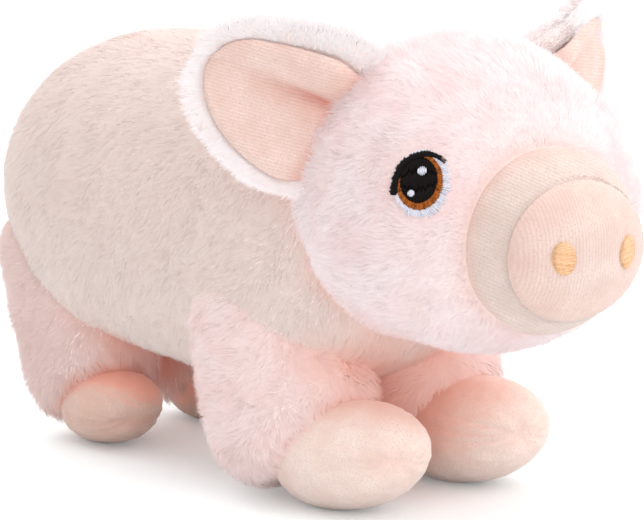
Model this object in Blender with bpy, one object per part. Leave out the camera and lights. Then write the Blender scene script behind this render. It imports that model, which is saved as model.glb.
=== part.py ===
"""A plush pig that stands on four stuffed feet.

Metres, +Z up. The pig faces -Y and stands on z = 0, with its right side at -X. It is drawn with x = 0 as its body's
middle plane, and at the end it is moved so that its box is centred over the origin.
Each cover is a hollow fabric shell whose mouth its neighbour closes, and a core of stuffing fills it.
"""

import math

import bmesh
import bpy
from mathutils import Matrix, Vector
from mathutils.bvhtree import BVHTree

# Clearances, and the fabrics
FIT_GAP = 0.0003  # between two pieces that touch on the real toy
CUT_OVERRUN = 0.010  # how far a cutter reaches past what it cuts
COVER_THICKNESS = 0.0024  # knitted backing and the dense foot of its pile, on every fur cover
VELOUR_THICKNESS = 0.0016  # short pile of the feet, the snout and the ear linings
THREAD_HEIGHT = 0.0006  # embroidery standing on the fabric

# Torso, from its chest to its rump
TORSO_LENGTH = 0.1355
TORSO_HALF_WIDTH = 0.0385
TORSO_HALF_HEIGHT = 0.0355
TORSO_AXIS_HEIGHT = 0.0600
TORSO_CHEST_Y = -0.041
TORSO_CAP_SHARES = (0.27, 0.36)
TORSO_EGG_SHARE = 0.08
TORSO_SQUARE_SHARE = 0.86  # 1 is a plain oval, and less is squarer
# Rows of a form: share of its length, then width, height and lift as shares of its half sizes
TORSO_SHARES = (
    (0.0, 0.86, 0.90, -0.09),
    (0.35, 0.95, 1.0, -0.06),
    (0.65, 1.0, 1.0, 0.0),
    (1.0, 0.96, 0.97, 0.02),
)
CLOSING_SEAM_LENGTH = 0.034
CLOSING_SEAM_WIDTH = 0.0018
CLOSING_SEAM_BACK = 0.075  # of the chest, to the seam's middle

# Head, which looks a little to the pig's right
HEAD_LENGTH = 0.0670
HEAD_HALF_WIDTH = 0.0339
HEAD_HALF_HEIGHT = 0.0321
HEAD_CENTRE = Vector((-0.0023, -0.0508, 0.0712))
HEAD_YAW = math.radians(11.5)
HEAD_CAP_SHARES = (0.46, 0.34)
HEAD_EGG_SHARE = 0.14
HEAD_SQUARE_SHARE = 0.97
HEAD_SHARES = (
    (0.0, 1.0, 1.0, 0.0),
    (0.5, 1.0, 1.0, 0.0),
    (0.8, 0.88, 0.90, -0.08),
    (1.0, 0.78, 0.80, -0.16),
)

# Snout, an oval band and a domed disc
SNOUT_BASE_HALF_WIDTH = 0.0191
SNOUT_BASE_HALF_HEIGHT = 0.0191
SNOUT_RIM_HALF_WIDTH = 0.0160
SNOUT_RIM_HALF_HEIGHT = 0.0144
SNOUT_BAND_LENGTH = 0.0080
SNOUT_DOME_HEIGHT = 0.0090
SNOUT_AHEAD = 0.0305  # of the head's centre
SNOUT_DROP = 0.0065  # below the head's centre
SNOUT_PITCH = math.radians(4)  # downward
SNOUT_ROOT_DEPTH = 0.008  # how far the band starts inside the head, which then cuts it
BAND_SWELL_SHARES = (0.0, 0.055, 0.075, 0.055, 0.0)
# Rows of the dome: share of its height, then of the rim's half sizes
DOME_SHARES = ((0.0, 0.98), (0.14, 1.01), (0.34, 0.94), (0.58, 0.79), (0.80, 0.58), (0.95, 0.31))
NOSTRIL_HALF_WIDTH = 0.0024
NOSTRIL_HALF_HEIGHT = 0.0034
NOSTRIL_APART = 0.0160
NOSTRIL_RISE = 0.0016  # above the snout's middle

# Eyes, embroidered on the head. Shares are of an eye's half sizes, outward over the cheek and up.
EYE_HALF_WIDTH = 0.0069
EYE_HALF_HEIGHT = 0.0075
EYE_PLACE = Vector((0.0262, 0.0192, 0.0072))  # outward, ahead and up of the head's centre
EYE_GAZE = Vector((0.80, 0.60, 0.12))
FAR_EYE_BACK = 0.0040  # how much further back the left eye is stitched than the right
WHITE_SHARES = (-0.10, -0.11, 0.90, 0.92)
IRIS_SHARES = (-0.03, -0.07, 0.724, 0.765)
PUPIL_SHARES = (-0.025, -0.015, 0.564, 0.630)
GLINT_SHARES = (("glint_upper", (-0.16, 0.222, 0.14, 0.13)), ("glint_lower", (0.204, -0.36, 0.10, 0.10)))
# Rows of the lid, from its outer end: how far along it, then the inner edge and the outer edge in the eye's half sizes
LID_SHARES = (
    (0.0, 0.66, -0.36, 0.90, -0.34),
    (0.20, 0.56, 0.08, 0.79, 0.12),
    (0.40, 0.38, 0.40, 0.53, 0.54),
    (0.60, 0.0, 0.56, 0.05, 0.735),
    (0.78, -0.37, 0.575, -0.39, 0.73),
    (0.90, -0.62, 0.49, -0.69, 0.60),
    (1.0, -0.80, 0.36, -0.90, 0.44),
)

# Ears. Places are outward, ahead and up of the head's centre, on the left side.
EAR_BASE_TOP = Vector((0.0165, -0.0085, 0.0292))
EAR_BASE_FOOT = Vector((0.0305, -0.0170, -0.0015))
EAR_TIP = Vector((0.0488, -0.0290, 0.0322))
FAR_EAR_TIP_SHIFT = Vector((0.0018, 0.0020, -0.0010))  # how the left ear's tip is set against the right one's
EAR_CLEARANCE = 0.0006  # between an ear's base and the head, so that it can swing
EAR_BACK_THICKNESS = 0.0020
EAR_ROOT_SHARE = 0.55  # of the full thickness, at the base seam
EAR_CUP_DEPTH = 0.0065
LINING_INSET = 0.0023  # from the back's rim, at the tip
LINING_UPPER_SHARES = (1.1, 2.8)  # of the inset, along the upper rim at the tip and at the base
LINING_LOWER_SHARE = 1.3  # of the inset, along the lower rim
# Rows of the ear: share of its height, upper and lower rim as shares of half the base, cup depth share
EAR_SHARES = (
    (0.0, -0.98, 0.92, 0.10),
    (0.10, -1.01, 1.04, 0.55),
    (0.25, -1.03, 1.12, 1.0),
    (0.45, -0.92, 1.10, 0.90),
    (0.65, -0.76, 1.00, 0.65),
    (0.82, -0.60, 0.82, 0.42),
    (0.94, -0.38, 0.58, 0.25),
    (1.0, -0.12, 0.32, 0.15),
)
EAR_VALLEY_SHARE = 0.34  # across the ear from its upper rim
EAR_FOOT_LIFT_SHARE = 0.5  # how far the lower rim cups, of the cup's depth
EAR_ROOT_RUN_SHARE = 0.25  # of the height, over which it thickens
EAR_COLUMNS = 9

# Legs and feet, on the left side
FRONT_LEG_TOP = Vector((0.0215, -0.004, 0.058))
FRONT_LEG_END = Vector((0.0183, -0.0090, 0.0018))
HIND_LEG_TOP = Vector((0.0190, -0.0265, 0.058))  # from the torso's rear end
HIND_LEG_END = Vector((0.0160, -0.0345, 0.0018))
FRONT_LEG_SIZES = (0.0172, 0.0192)  # half width and half depth
HIND_LEG_SIZES = (0.0128, 0.0132)
LEG_CAP_SHARES = (0.25, 0.27)
FRONT_LEG_SHARES = (
    (0.0, 0.85, 0.72, -0.02),
    (0.3, 0.90, 0.78, -0.05),
    (0.6, 1.0, 0.94, 0.15),
    (1.0, 0.98, 1.0, 0.20),
)
HIND_LEG_SHARES = ((0.0, 1.25, 1.42, 0.0), (0.45, 1.20, 1.28, 0.0), (0.8, 1.04, 1.06, 0.0), (1.0, 0.98, 1.0, 0.0))
FRONT_FOOT_SIZES = (0.0420, 0.0140, 0.0118)  # length, half width and half height
HIND_FOOT_SIZES = (0.0325, 0.0113, 0.0087)
FOOT_PITCH = math.radians(14)
FRONT_FOOT_AHEAD = 0.0210  # of the leg's end, to the foot's middle
HIND_FOOT_AHEAD = 0.0070
FOOT_PRESS = 0.0005  # how much of the rounded sole is cut flat
FOOT_CAP_SHARES = (0.46, 0.44)
FOOT_SHARES = ((0.0, 0.96, 0.96, 0.0), (0.5, 1.0, 1.0, 0.0), (1.0, 0.92, 0.92, 0.0))
FRONT_SPLAY = math.radians(0)
HIND_SPLAY = math.radians(20)
FRONT_DIMPLE_SIZES = (0.0028, 0.0011, 0.0017)  # half width, depth and half height
FRONT_DIMPLE_PLACE = (0.0040, 0.0152)  # to the pig's right of the foot's middle, and up
HIND_DIMPLE_SIZES = (0.0034, 0.0010, 0.0009)
HIND_DIMPLE_PLACE = (0.0, 0.0073)
SEAM_TILT = math.radians(46)  # of the seam between leg and foot, from upright
FRONT_SEAM_BACK = 0.0105  # of the foot's middle, at its half height
HIND_SEAM_BACK = 0.0075

# Tail, a tapered curl on the rump
TAIL_RADIUS = 0.0027
TAIL_TIP_SHARE = 0.5
TAIL_CURL_RADIUS = 0.0042
TAIL_OPEN_SHARES = (0.25, 0.40)  # the curl's radius at its start, and how far along it is full
TAIL_TURNS = 1.2
TAIL_PITCH = 0.0072  # how far the curl runs rearward
TAIL_ABOVE_AXIS = 0.0010  # of the torso
TAIL_ROOT_LENGTH = 0.0020
TAIL_CLEARANCE = 0.0005

# How finely the forms are drawn: stations along each, and points around it
TORSO_MESH = (18, 28)
HEAD_MESH = (16, 28)
LEG_MESH = (10, 18)
FOOT_MESH = (12, 18)
CORE_MESH = (8, 14)
SNOUT_AROUND = 28
EYE_AROUND = 24
NOSTRIL_AROUND = 16
LID_STEPS = 14
TAIL_STEPS = 26
TAIL_AROUND = 10
TAIL_END_RINGS = 4

# Finishes: colour and roughness
FUR = ("fur", (0.86, 0.56, 0.50), 0.92)
VELOUR = ("velour", (0.84, 0.50, 0.38), 0.88)
STUFFING = ("stuffing", (0.92, 0.91, 0.88), 1.0)
WHITE_THREAD = ("white_thread", (0.72, 0.68, 0.76), 0.5)
BLACK_THREAD = ("black_thread", (0.01, 0.01, 0.012), 0.4)
BROWN_THREAD = ("brown_thread", (0.46, 0.12, 0.02), 0.45)
TAN_THREAD = ("tan_thread", (0.80, 0.36, 0.12), 0.45)
PINK_THREAD = ("pink_thread", (0.80, 0.42, 0.36), 0.6)


def smooth_row(rows, t):
    """Reads a table of rows at t, on a smooth curve through them."""
    i = max(k for k in range(len(rows) - 1) if rows[k][0] <= t)
    a, b = rows[i], rows[i + 1]
    before, after = rows[max(i - 1, 0)], rows[min(i + 2, len(rows) - 1)]
    span = b[0] - a[0]
    s = (t - a[0]) / span
    read = []
    for k in range(1, len(a)):
        slope_a = (b[k] - before[k]) / (b[0] - before[0])
        slope_b = (after[k] - a[k]) / (after[0] - a[0])
        start = (2 * s**3 - 3 * s**2 + 1) * a[k] + (s**3 - 2 * s**2 + s) * span * slope_a
        end = (-2 * s**3 + 3 * s**2) * b[k] + (s**3 - s**2) * span * slope_b
        read.append(start + end)
    return read


def cap(t, caps):
    """How far a form has opened at t, from 0 at its tips to 1 between its rounded ends."""
    opened = min(1.0, t / caps[0], (1 - t) / caps[1])
    return math.sqrt(max(0.0, 1 - (1 - opened) ** 2))


def face_out(bm):
    bmesh.ops.recalc_face_normals(bm, faces=bm.faces)
    if bm.calc_volume(signed=True) < 0:
        bmesh.ops.reverse_faces(bm, faces=bm.faces)


def closed_loft(sections, first_tip, last_tip):
    """A skin over sections, closed to a point at each end."""
    bm = bmesh.new()
    loops = [[bm.verts.new(p) for p in points] for points in sections]
    for a, b in zip(loops, loops[1:]):
        for k in range(len(a)):
            bm.faces.new((a[k - 1], a[k], b[k], b[k - 1]))
    for loop, place in ((loops[0], first_tip), (loops[-1], last_tip)):
        point = bm.verts.new(place)
        for k in range(len(loop)):
            bm.faces.new((loop[k - 1], loop[k], point))
    face_out(bm)
    return bm


def ring_loft(sections):
    """A skin over sections whose last joins its first, like a tyre."""
    bm = bmesh.new()
    loops = [[bm.verts.new(p) for p in points] for points in sections]
    for a, b in zip(loops, loops[1:] + loops[:1]):
        for k in range(len(a)):
            bm.faces.new((a[k - 1], a[k], b[k], b[k - 1]))
    face_out(bm)
    return bm


class Form:
    """A stuffed form: oval sections strung along an axis, with two rounded ends."""

    def __init__(self, start, axis, up, sizes, shares, caps, egg=0.0, square=1.0):
        self.start = start
        self.axis = axis.normalized()
        self.side = self.axis.cross(up).normalized()
        self.up = self.side.cross(self.axis).normalized()
        self.length, self.half_width, self.half_height = sizes
        self.shares = shares
        self.caps = caps
        self.egg = egg
        self.square = square

    def place(self, t, grow, lift):
        return self.start + self.axis * (t * (self.length + 2 * grow) - grow) + self.up * (lift * self.half_height)

    def section(self, t, grow, around):
        width, height, lift = smooth_row(self.shares, t)
        opened = cap(t, self.caps)
        centre = self.place(t, grow, lift)
        half_width = (self.half_width * width + grow) * opened
        half_height = (self.half_height * height + grow) * opened
        points = []
        for k in range(around):
            c, s = math.cos(math.tau * k / around), math.sin(math.tau * k / around)
            c = math.copysign(abs(c) ** self.square, c)
            s = math.copysign(abs(s) ** self.square, s)
            points.append(centre + self.side * (half_width * c * (1 - self.egg * s)) + self.up * (half_height * s))
        return points

    def mesh(self, fineness, grow=0.0):
        steps, around = fineness
        stations = [(1 - math.cos(math.pi * i / steps)) / 2 for i in range(1, steps)]
        sections = [self.section(t, grow, around) for t in stations]
        tips = [self.place(t, grow, smooth_row(self.shares, t)[2]) for t in (0.0, 1.0)]
        return closed_loft(sections, *tips)


def slice_off(bm, point, normal):
    """Removes what lies past a plane and closes the cut."""
    geometry = bm.verts[:] + bm.edges[:] + bm.faces[:]
    cut = bmesh.ops.bisect_plane(bm, geom=geometry, plane_co=point, plane_no=normal, clear_outer=True)
    edges = [e for e in cut["geom_cut"] if isinstance(e, bmesh.types.BMEdge)]
    if edges:
        bmesh.ops.holes_fill(bm, edges=edges, sides=0)
        face_out(bm)
    return bm


def material(finish):
    name, colour, roughness = finish
    made = bpy.data.materials.get(name)
    if made is None:
        made = bpy.data.materials.new(name)
        made.use_nodes = True
        shader = made.node_tree.nodes["Principled BSDF"]
        shader.inputs["Base Color"].default_value = (*colour, 1)
        shader.inputs["Roughness"].default_value = roughness
        shader.inputs["Metallic"].default_value = 0.0
    return made


def linked(name, bm):
    mesh = bpy.data.meshes.new(name)
    bm.to_mesh(mesh)
    bm.free()
    made = bpy.data.objects.new(name, mesh)
    bpy.context.scene.collection.objects.link(made)
    return made


def piece(name, bm, finish, cutters=(), keep=None, origin=None):
    """A piece of the toy, less what its cutters take, kept within one form and set on its hinge where those are given."""
    if origin:
        bmesh.ops.translate(bm, verts=bm.verts, vec=-origin)
    made = linked(name, bm)
    made.location = origin or (0, 0, 0)
    made.data.materials.append(material(finish))
    made.data.shade_smooth()
    for tool in ([keep] if keep else []) + list(cutters):
        modifier = made.modifiers.new("cut", "BOOLEAN")
        modifier.operation = "INTERSECT" if tool is keep else "DIFFERENCE"
        modifier.solver = "EXACT"
        modifier.object = tool
    return made


def cutter(name, bm):
    made = linked(name, bm)
    made.hide_render = True
    made.display_type = "WIRE"
    return made


def block(centre, size):
    bm = bmesh.new()
    bmesh.ops.create_cube(bm, size=1.0, matrix=Matrix.Translation(centre) @ Matrix.Diagonal((*size, 1.0)))
    return bm


def mirrored(place, sign):
    return Vector((place.x * sign, place.y, place.z))


def torso_form():
    start = Vector((0, TORSO_CHEST_Y, TORSO_AXIS_HEIGHT))
    sizes = (TORSO_LENGTH, TORSO_HALF_WIDTH, TORSO_HALF_HEIGHT)
    axis, up = Vector((0, 1, 0)), Vector((0, 0, 1))
    return Form(start, axis, up, sizes, TORSO_SHARES, TORSO_CAP_SHARES, TORSO_EGG_SHARE, TORSO_SQUARE_SHARE)


def head_axes():
    """The head's outward direction to the pig's left, its forward and its up."""
    turn = Matrix.Rotation(-HEAD_YAW, 3, "Z")
    return turn @ Vector((1, 0, 0)), turn @ Vector((0, -1, 0)), Vector((0, 0, 1))


def head_direction(local, sign):
    side, forward, up = head_axes()
    return side * (local.x * sign) + forward * local.y + up * local.z


def head_form():
    forward = head_axes()[1]
    start = HEAD_CENTRE - forward * (HEAD_LENGTH / 2)
    sizes = (HEAD_LENGTH, HEAD_HALF_WIDTH, HEAD_HALF_HEIGHT)
    up = Vector((0, 0, 1))
    return Form(start, forward, up, sizes, HEAD_SHARES, HEAD_CAP_SHARES, HEAD_EGG_SHARE, HEAD_SQUARE_SHARE)


def snout_axes():
    side, forward, up = head_axes()
    tilt = Matrix.Rotation(SNOUT_PITCH, 3, side)
    return side, tilt @ forward, tilt @ up


def snout_section(along, half_width, half_height):
    side, forward, up = snout_axes()
    centre = HEAD_CENTRE + head_direction(Vector((0, SNOUT_AHEAD, -SNOUT_DROP)), 1) + forward * along
    points = []
    for k in range(SNOUT_AROUND):
        angle = math.tau * k / SNOUT_AROUND
        points.append(centre + side * (half_width * math.cos(angle)) + up * (half_height * math.sin(angle)))
    return points


def band_sections(inset):
    last = len(BAND_SWELL_SHARES) - 1
    sections = [snout_section(-SNOUT_ROOT_DEPTH, SNOUT_BASE_HALF_WIDTH - inset, SNOUT_BASE_HALF_HEIGHT - inset)]
    for i, swell in enumerate(BAND_SWELL_SHARES):
        s = i / last
        half_width = SNOUT_BASE_HALF_WIDTH + (SNOUT_RIM_HALF_WIDTH - SNOUT_BASE_HALF_WIDTH) * s
        half_height = SNOUT_BASE_HALF_HEIGHT + (SNOUT_RIM_HALF_HEIGHT - SNOUT_BASE_HALF_HEIGHT) * s
        swollen = 1 + swell
        sections.append(
            snout_section(SNOUT_BAND_LENGTH * s, half_width * swollen - inset, half_height * swollen - inset)
        )
    return sections


def dome_sections(grow, start=SNOUT_BAND_LENGTH + FIT_GAP):
    sections = []
    for rise, radius in DOME_SHARES:
        along = start + (SNOUT_DOME_HEIGHT + grow) * rise
        half_width = (SNOUT_RIM_HALF_WIDTH + grow) * radius
        sections.append(snout_section(along, half_width, (SNOUT_RIM_HALF_HEIGHT + grow) * radius))
    return sections


def dome_tip(grow):
    centre = HEAD_CENTRE + head_direction(Vector((0, SNOUT_AHEAD, -SNOUT_DROP)), 1)
    return centre + snout_axes()[1] * (SNOUT_BAND_LENGTH + FIT_GAP + SNOUT_DOME_HEIGHT + grow)


def leg_form(top, end, sizes, shares):
    axis = end - top
    return Form(top, axis, Vector((0, -1, 0)), (axis.length, *sizes), shares, LEG_CAP_SHARES)


def foot_axes(sign, splay):
    turn = Matrix.Rotation(splay * sign, 3, "Z")
    ahead = turn @ Vector((0, -1, 0))
    tilt = Matrix.Rotation(-FOOT_PITCH, 3, turn @ Vector((1, 0, 0)))
    return ahead, tilt @ ahead, tilt @ Vector((0, 0, 1))


def foot_form(middle, sizes, sign, splay):
    axis, up = foot_axes(sign, splay)[1:]
    form = Form(-axis * (sizes[0] / 2), axis, up, sizes, FOOT_SHARES, FOOT_CAP_SHARES)
    bm = form.mesh(FOOT_MESH)
    lowest = min(v.co.z for v in bm.verts)
    bm.free()
    form.start += Vector((middle.x, middle.y, -lowest - FOOT_PRESS))
    return form


def seam_plane(middle, sizes, seam_back, ahead):
    point = Vector((middle.x, middle.y, sizes[2])) - ahead * seam_back
    return point, ahead * math.cos(SEAM_TILT) - Vector((0, 0, 1)) * math.sin(SEAM_TILT)


class Patch:
    """A piece of embroidery that lies on a surface, drawn in the plane of its own two directions."""

    def __init__(self, surface, middle, outward, across):
        self.tree = BVHTree.FromBMesh(surface)
        self.outward = outward.normalized()
        self.across = (across - self.outward * across.dot(self.outward)).normalized()
        self.upward = self.outward.cross(self.across)
        if self.upward.z < 0:
            self.upward = -self.upward
        self.middle = middle

    def drop(self, x, y, height):
        """The point over (x, y) that stands off the surface by a height."""
        above = self.middle + self.across * x + self.upward * y + self.outward * CUT_OVERRUN
        hit = self.tree.ray_cast(above, -self.outward)[0]
        return hit + self.outward * height

    def solid(self, rows, low, high, closed=True, centre=None):
        """Rows of points, the outer row first, made into a plate between two heights."""
        bm = bmesh.new()
        layers = [[[bm.verts.new(self.drop(x, y, h)) for x, y in row] for row in rows] for h in (low, high)]
        count = len(rows[0])
        columns = range(count) if closed else range(1, count)
        for layer in layers:
            for a, b in zip(layer, layer[1:]):
                for k in columns:
                    bm.faces.new((a[k - 1], a[k], b[k], b[k - 1]))
            if centre:
                point = bm.verts.new(self.drop(*centre, low if layer is layers[0] else high))
                for k in columns:
                    bm.faces.new((layer[-1][k - 1], layer[-1][k], point))
        for i in (0,) if centre else (0, -1):
            for k in columns:
                a, b = layers[0][i], layers[1][i]
                bm.faces.new((a[k - 1], a[k], b[k], b[k - 1]))
        if not closed:
            for k in (0, -1):
                for i in range(1, len(rows)):
                    a, b = layers
                    bm.faces.new((a[i - 1][k], a[i][k], b[i][k], b[i - 1][k]))
        face_out(bm)
        return bm


def oval(shares, half_width, half_height, count, grow=0.0, scale=1.0):
    x, y, wide, high = shares
    points = []
    for k in range(count):
        angle = math.tau * k / count
        points.append(
            (
                x * half_width + (wide * half_width + grow) * scale * math.cos(angle),
                y * half_height + (high * half_height + grow) * scale * math.sin(angle),
            )
        )
    return points


def build_torso():
    form = torso_form()
    inner = cutter("torso_inner_guide", form.mesh(CORE_MESH, -COVER_THICKNESS))
    outer = cutter("torso_outer_guide", form.mesh(TORSO_MESH))
    underside = Vector((0, TORSO_CHEST_Y + CLOSING_SEAM_BACK, TORSO_AXIS_HEIGHT - TORSO_HALF_HEIGHT))
    slit_size = Vector((CLOSING_SEAM_WIDTH, CLOSING_SEAM_LENGTH, CUT_OVERRUN * 2))
    thread_size = slit_size - Vector((FIT_GAP * 2, FIT_GAP * 2, 0))
    slit = cutter("closing_slit_guide", block(underside, slit_size))
    piece("torso", form.mesh(TORSO_MESH), FUR, (inner, slit))
    piece("closing_seam", block(underside, thread_size), PINK_THREAD, (inner,), keep=outer)
    piece("torso_stuffing", form.mesh(CORE_MESH, -COVER_THICKNESS - FIT_GAP), STUFFING)
    return cutter("torso_clearance_guide", form.mesh(TORSO_MESH, FIT_GAP))


def build_head(torso):
    form = head_form()
    inner = cutter("head_inner_guide", form.mesh(CORE_MESH, -COVER_THICKNESS))
    piece("head", form.mesh(HEAD_MESH), FUR, (inner, torso))
    piece("head_stuffing", form.mesh(CORE_MESH, -COVER_THICKNESS - FIT_GAP), STUFFING, (torso,))
    return cutter("head_clearance_guide", form.mesh(HEAD_MESH, FIT_GAP))


def build_snout(head):
    band = band_sections(0) + band_sections(VELOUR_THICKNESS)[::-1]
    piece("snout_band", ring_loft(band), VELOUR, (head,))
    dome = dome_sections(0)[::-1] + dome_sections(-VELOUR_THICKNESS)
    piece("snout_disc", closed_loft(dome, dome_tip(0), dome_tip(-VELOUR_THICKNESS)), VELOUR)
    inset = VELOUR_THICKNESS + FIT_GAP
    filled = band_sections(inset)[:-1] + dome_sections(-inset)
    root = sum(filled[0], Vector()) / SNOUT_AROUND
    piece("snout_stuffing", closed_loft(filled, root, dome_tip(-inset)), STUFFING, (head,))
    surface = closed_loft(dome_sections(0), root, dome_tip(0))
    side_way, forward, up = snout_axes()
    for side, sign in (("right", -1), ("left", 1)):
        middle = dome_tip(0) + side_way * (sign * NOSTRIL_APART / 2) + up * NOSTRIL_RISE
        patch = Patch(surface, middle, forward, side_way * sign)
        shares = (0, 0, 1, 1)
        rows = [oval(shares, NOSTRIL_HALF_WIDTH, NOSTRIL_HALF_HEIGHT, NOSTRIL_AROUND, scale=s) for s in (1.0, 0.5)]
        piece(f"nostril_{side}", patch.solid(rows, FIT_GAP, FIT_GAP + THREAD_HEIGHT, centre=(0, 0)), TAN_THREAD)
    surface.free()


def build_eyes():
    surface = head_form().mesh(HEAD_MESH)
    first = (FIT_GAP, FIT_GAP + THREAD_HEIGHT)
    second = (first[1] + FIT_GAP, first[1] + FIT_GAP + THREAD_HEIGHT)
    sizes = (EYE_HALF_WIDTH, EYE_HALF_HEIGHT, EYE_AROUND)
    for side, sign in (("right", -1), ("left", 1)):
        outward = head_direction(EYE_GAZE, sign)
        across = head_axes()[0] * sign
        place = EYE_PLACE if sign < 0 else EYE_PLACE - Vector((0, FAR_EYE_BACK, 0))
        patch = Patch(surface, HEAD_CENTRE + head_direction(place, sign), outward, across)
        white = [oval(WHITE_SHARES, *sizes), oval(IRIS_SHARES, *sizes, grow=FIT_GAP)]
        piece(f"eye_white_{side}", patch.solid(white, *first), WHITE_THREAD)
        iris = [oval(IRIS_SHARES, *sizes), oval(PUPIL_SHARES, *sizes, grow=FIT_GAP)]
        piece(f"iris_{side}", patch.solid(iris, *first), BROWN_THREAD)
        pupil = [oval(PUPIL_SHARES, *sizes, scale=s) for s in (1.0, 0.6)]
        middle = (PUPIL_SHARES[0] * EYE_HALF_WIDTH, PUPIL_SHARES[1] * EYE_HALF_HEIGHT)
        piece(f"pupil_{side}", patch.solid(pupil, *first, centre=middle), BLACK_THREAD)
        lid = [[], []]
        for k in range(LID_STEPS + 1):
            inner_x, inner_y, outer_x, outer_y = smooth_row(LID_SHARES, k / LID_STEPS)
            lid[0].append((EYE_HALF_WIDTH * inner_x, EYE_HALF_HEIGHT * inner_y))
            lid[1].append((EYE_HALF_WIDTH * outer_x, EYE_HALF_HEIGHT * outer_y))
        piece(f"eyelid_{side}", patch.solid(lid, *second, closed=False), BLACK_THREAD)
        for name, shares in GLINT_SHARES:
            rows = [oval(shares, EYE_HALF_WIDTH, EYE_HALF_HEIGHT, NOSTRIL_AROUND)]
            middle = (shares[0] * EYE_HALF_WIDTH, shares[1] * EYE_HALF_HEIGHT)
            piece(f"{name}_{side}", patch.solid(rows, *second, centre=middle), WHITE_THREAD)
    surface.free()


def ear_surface(tree, sign, inset, height):
    """Points of an ear at a height in front of its middle surface, from the base seam to the tip."""
    base_top = HEAD_CENTRE + head_direction(EAR_BASE_TOP, sign)
    base_foot = HEAD_CENTRE + head_direction(EAR_BASE_FOOT, sign)
    tip = HEAD_CENTRE + head_direction(EAR_TIP if sign < 0 else EAR_TIP + FAR_EAR_TIP_SHIFT, sign)
    middle = (base_top + base_foot) / 2
    chord = (base_foot - base_top).normalized()
    rise = (tip - middle) - chord * (tip - middle).dot(chord)
    facing = chord.cross(rise).normalized()
    if facing.y > 0:
        facing = -facing
    half_base = (base_foot - base_top).length / 2
    tip_height = rise.length - inset
    rise.normalize()
    grid = []
    for share, upper, lower, cup in EAR_SHARES:
        row = []
        upper_share = LINING_UPPER_SHARES[1] + (LINING_UPPER_SHARES[0] - LINING_UPPER_SHARES[1]) * share
        for k in range(EAR_COLUMNS):
            across = k / (EAR_COLUMNS - 1)
            width = upper + (lower - upper) * across
            inward = inset * (upper_share * (1 - across) - LINING_LOWER_SHARE * across)
            if across < EAR_VALLEY_SHARE:
                bend = 1 - across / EAR_VALLEY_SHARE
                lift = math.sin(bend * math.pi / 2)
            else:
                bend = (across - EAR_VALLEY_SHARE) / (1 - EAR_VALLEY_SHARE)
                lift = EAR_FOOT_LIFT_SHARE * bend * bend
            thick = height * (EAR_ROOT_SHARE + (1 - EAR_ROOT_SHARE) * min(1.0, share / EAR_ROOT_RUN_SHARE))
            foot = middle + chord * (half_base * width + inward) + facing * (EAR_CUP_DEPTH * cup * lift + thick)
            if share == 0:
                hit = tree.ray_cast(foot + rise * tip_height, -rise)[0]
                row.append(hit if hit and (hit - foot).dot(rise) > 0 else foot)
            else:
                row.append(foot + rise * (tip_height * share))
        grid.append(row)
    for k in range(EAR_COLUMNS):
        low, high = grid[0][k], grid[2][k]
        if (high - low).dot(rise) > 0:
            grid[1][k] = low + (high - low) * (EAR_SHARES[1][0] / EAR_SHARES[2][0])
    return grid


def plate(back, front):
    """A closed plate between two grids of points."""
    bm = bmesh.new()
    layers = [[[bm.verts.new(p) for p in row] for row in grid] for grid in (back, front)]
    for layer in layers:
        for a, b in zip(layer, layer[1:]):
            for k in range(1, len(a)):
                bm.faces.new((a[k - 1], a[k], b[k], b[k - 1]))
    a, b = layers
    for i in (0, -1):
        for k in range(1, len(a[0])):
            bm.faces.new((a[i][k - 1], a[i][k], b[i][k], b[i][k - 1]))
    for k in (0, -1):
        for i in range(1, len(a)):
            bm.faces.new((a[i - 1][k], a[i][k], b[i][k], b[i - 1][k]))
    face_out(bm)
    return bm


def build_ears():
    surface = head_form().mesh(HEAD_MESH, EAR_CLEARANCE)
    tree = BVHTree.FromBMesh(surface)
    surface.free()
    for side, sign in (("right", -1), ("left", 1)):
        hinge = HEAD_CENTRE + head_direction((EAR_BASE_TOP + EAR_BASE_FOOT) / 2, sign)
        layers = (-EAR_BACK_THICKNESS, 0.0)
        back = [ear_surface(tree, sign, 0.0, h) for h in layers]
        piece(f"ear_back_{side}", plate(*back), FUR, origin=hinge)
        layers = (FIT_GAP / EAR_ROOT_SHARE, FIT_GAP / EAR_ROOT_SHARE + VELOUR_THICKNESS)
        lining = [ear_surface(tree, sign, LINING_INSET, h) for h in layers]
        piece(f"ear_lining_{side}", plate(*lining), VELOUR, origin=hinge)


def toe_dimple(name, surface, middle, ahead, sizes, place):
    """A shallow oval bite in a foot's tip, where its seam draws the stuffing in."""
    tree = BVHTree.FromBMesh(surface)
    start = Vector((middle.x - place[0], middle.y, place[1])) + ahead * FRONT_FOOT_SIZES[0]
    centre = tree.ray_cast(start, -ahead)[0]
    side = ahead.cross(Vector((0, 0, 1)))
    axes = Matrix((side, ahead, Vector((0, 0, 1)))).transposed().to_4x4()
    bm = bmesh.new()
    sized = Matrix.Translation(centre) @ axes @ Matrix.Diagonal((*sizes, 1.0))
    bmesh.ops.create_icosphere(bm, subdivisions=2, radius=1.0, matrix=sized)
    return cutter(name, bm)


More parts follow.
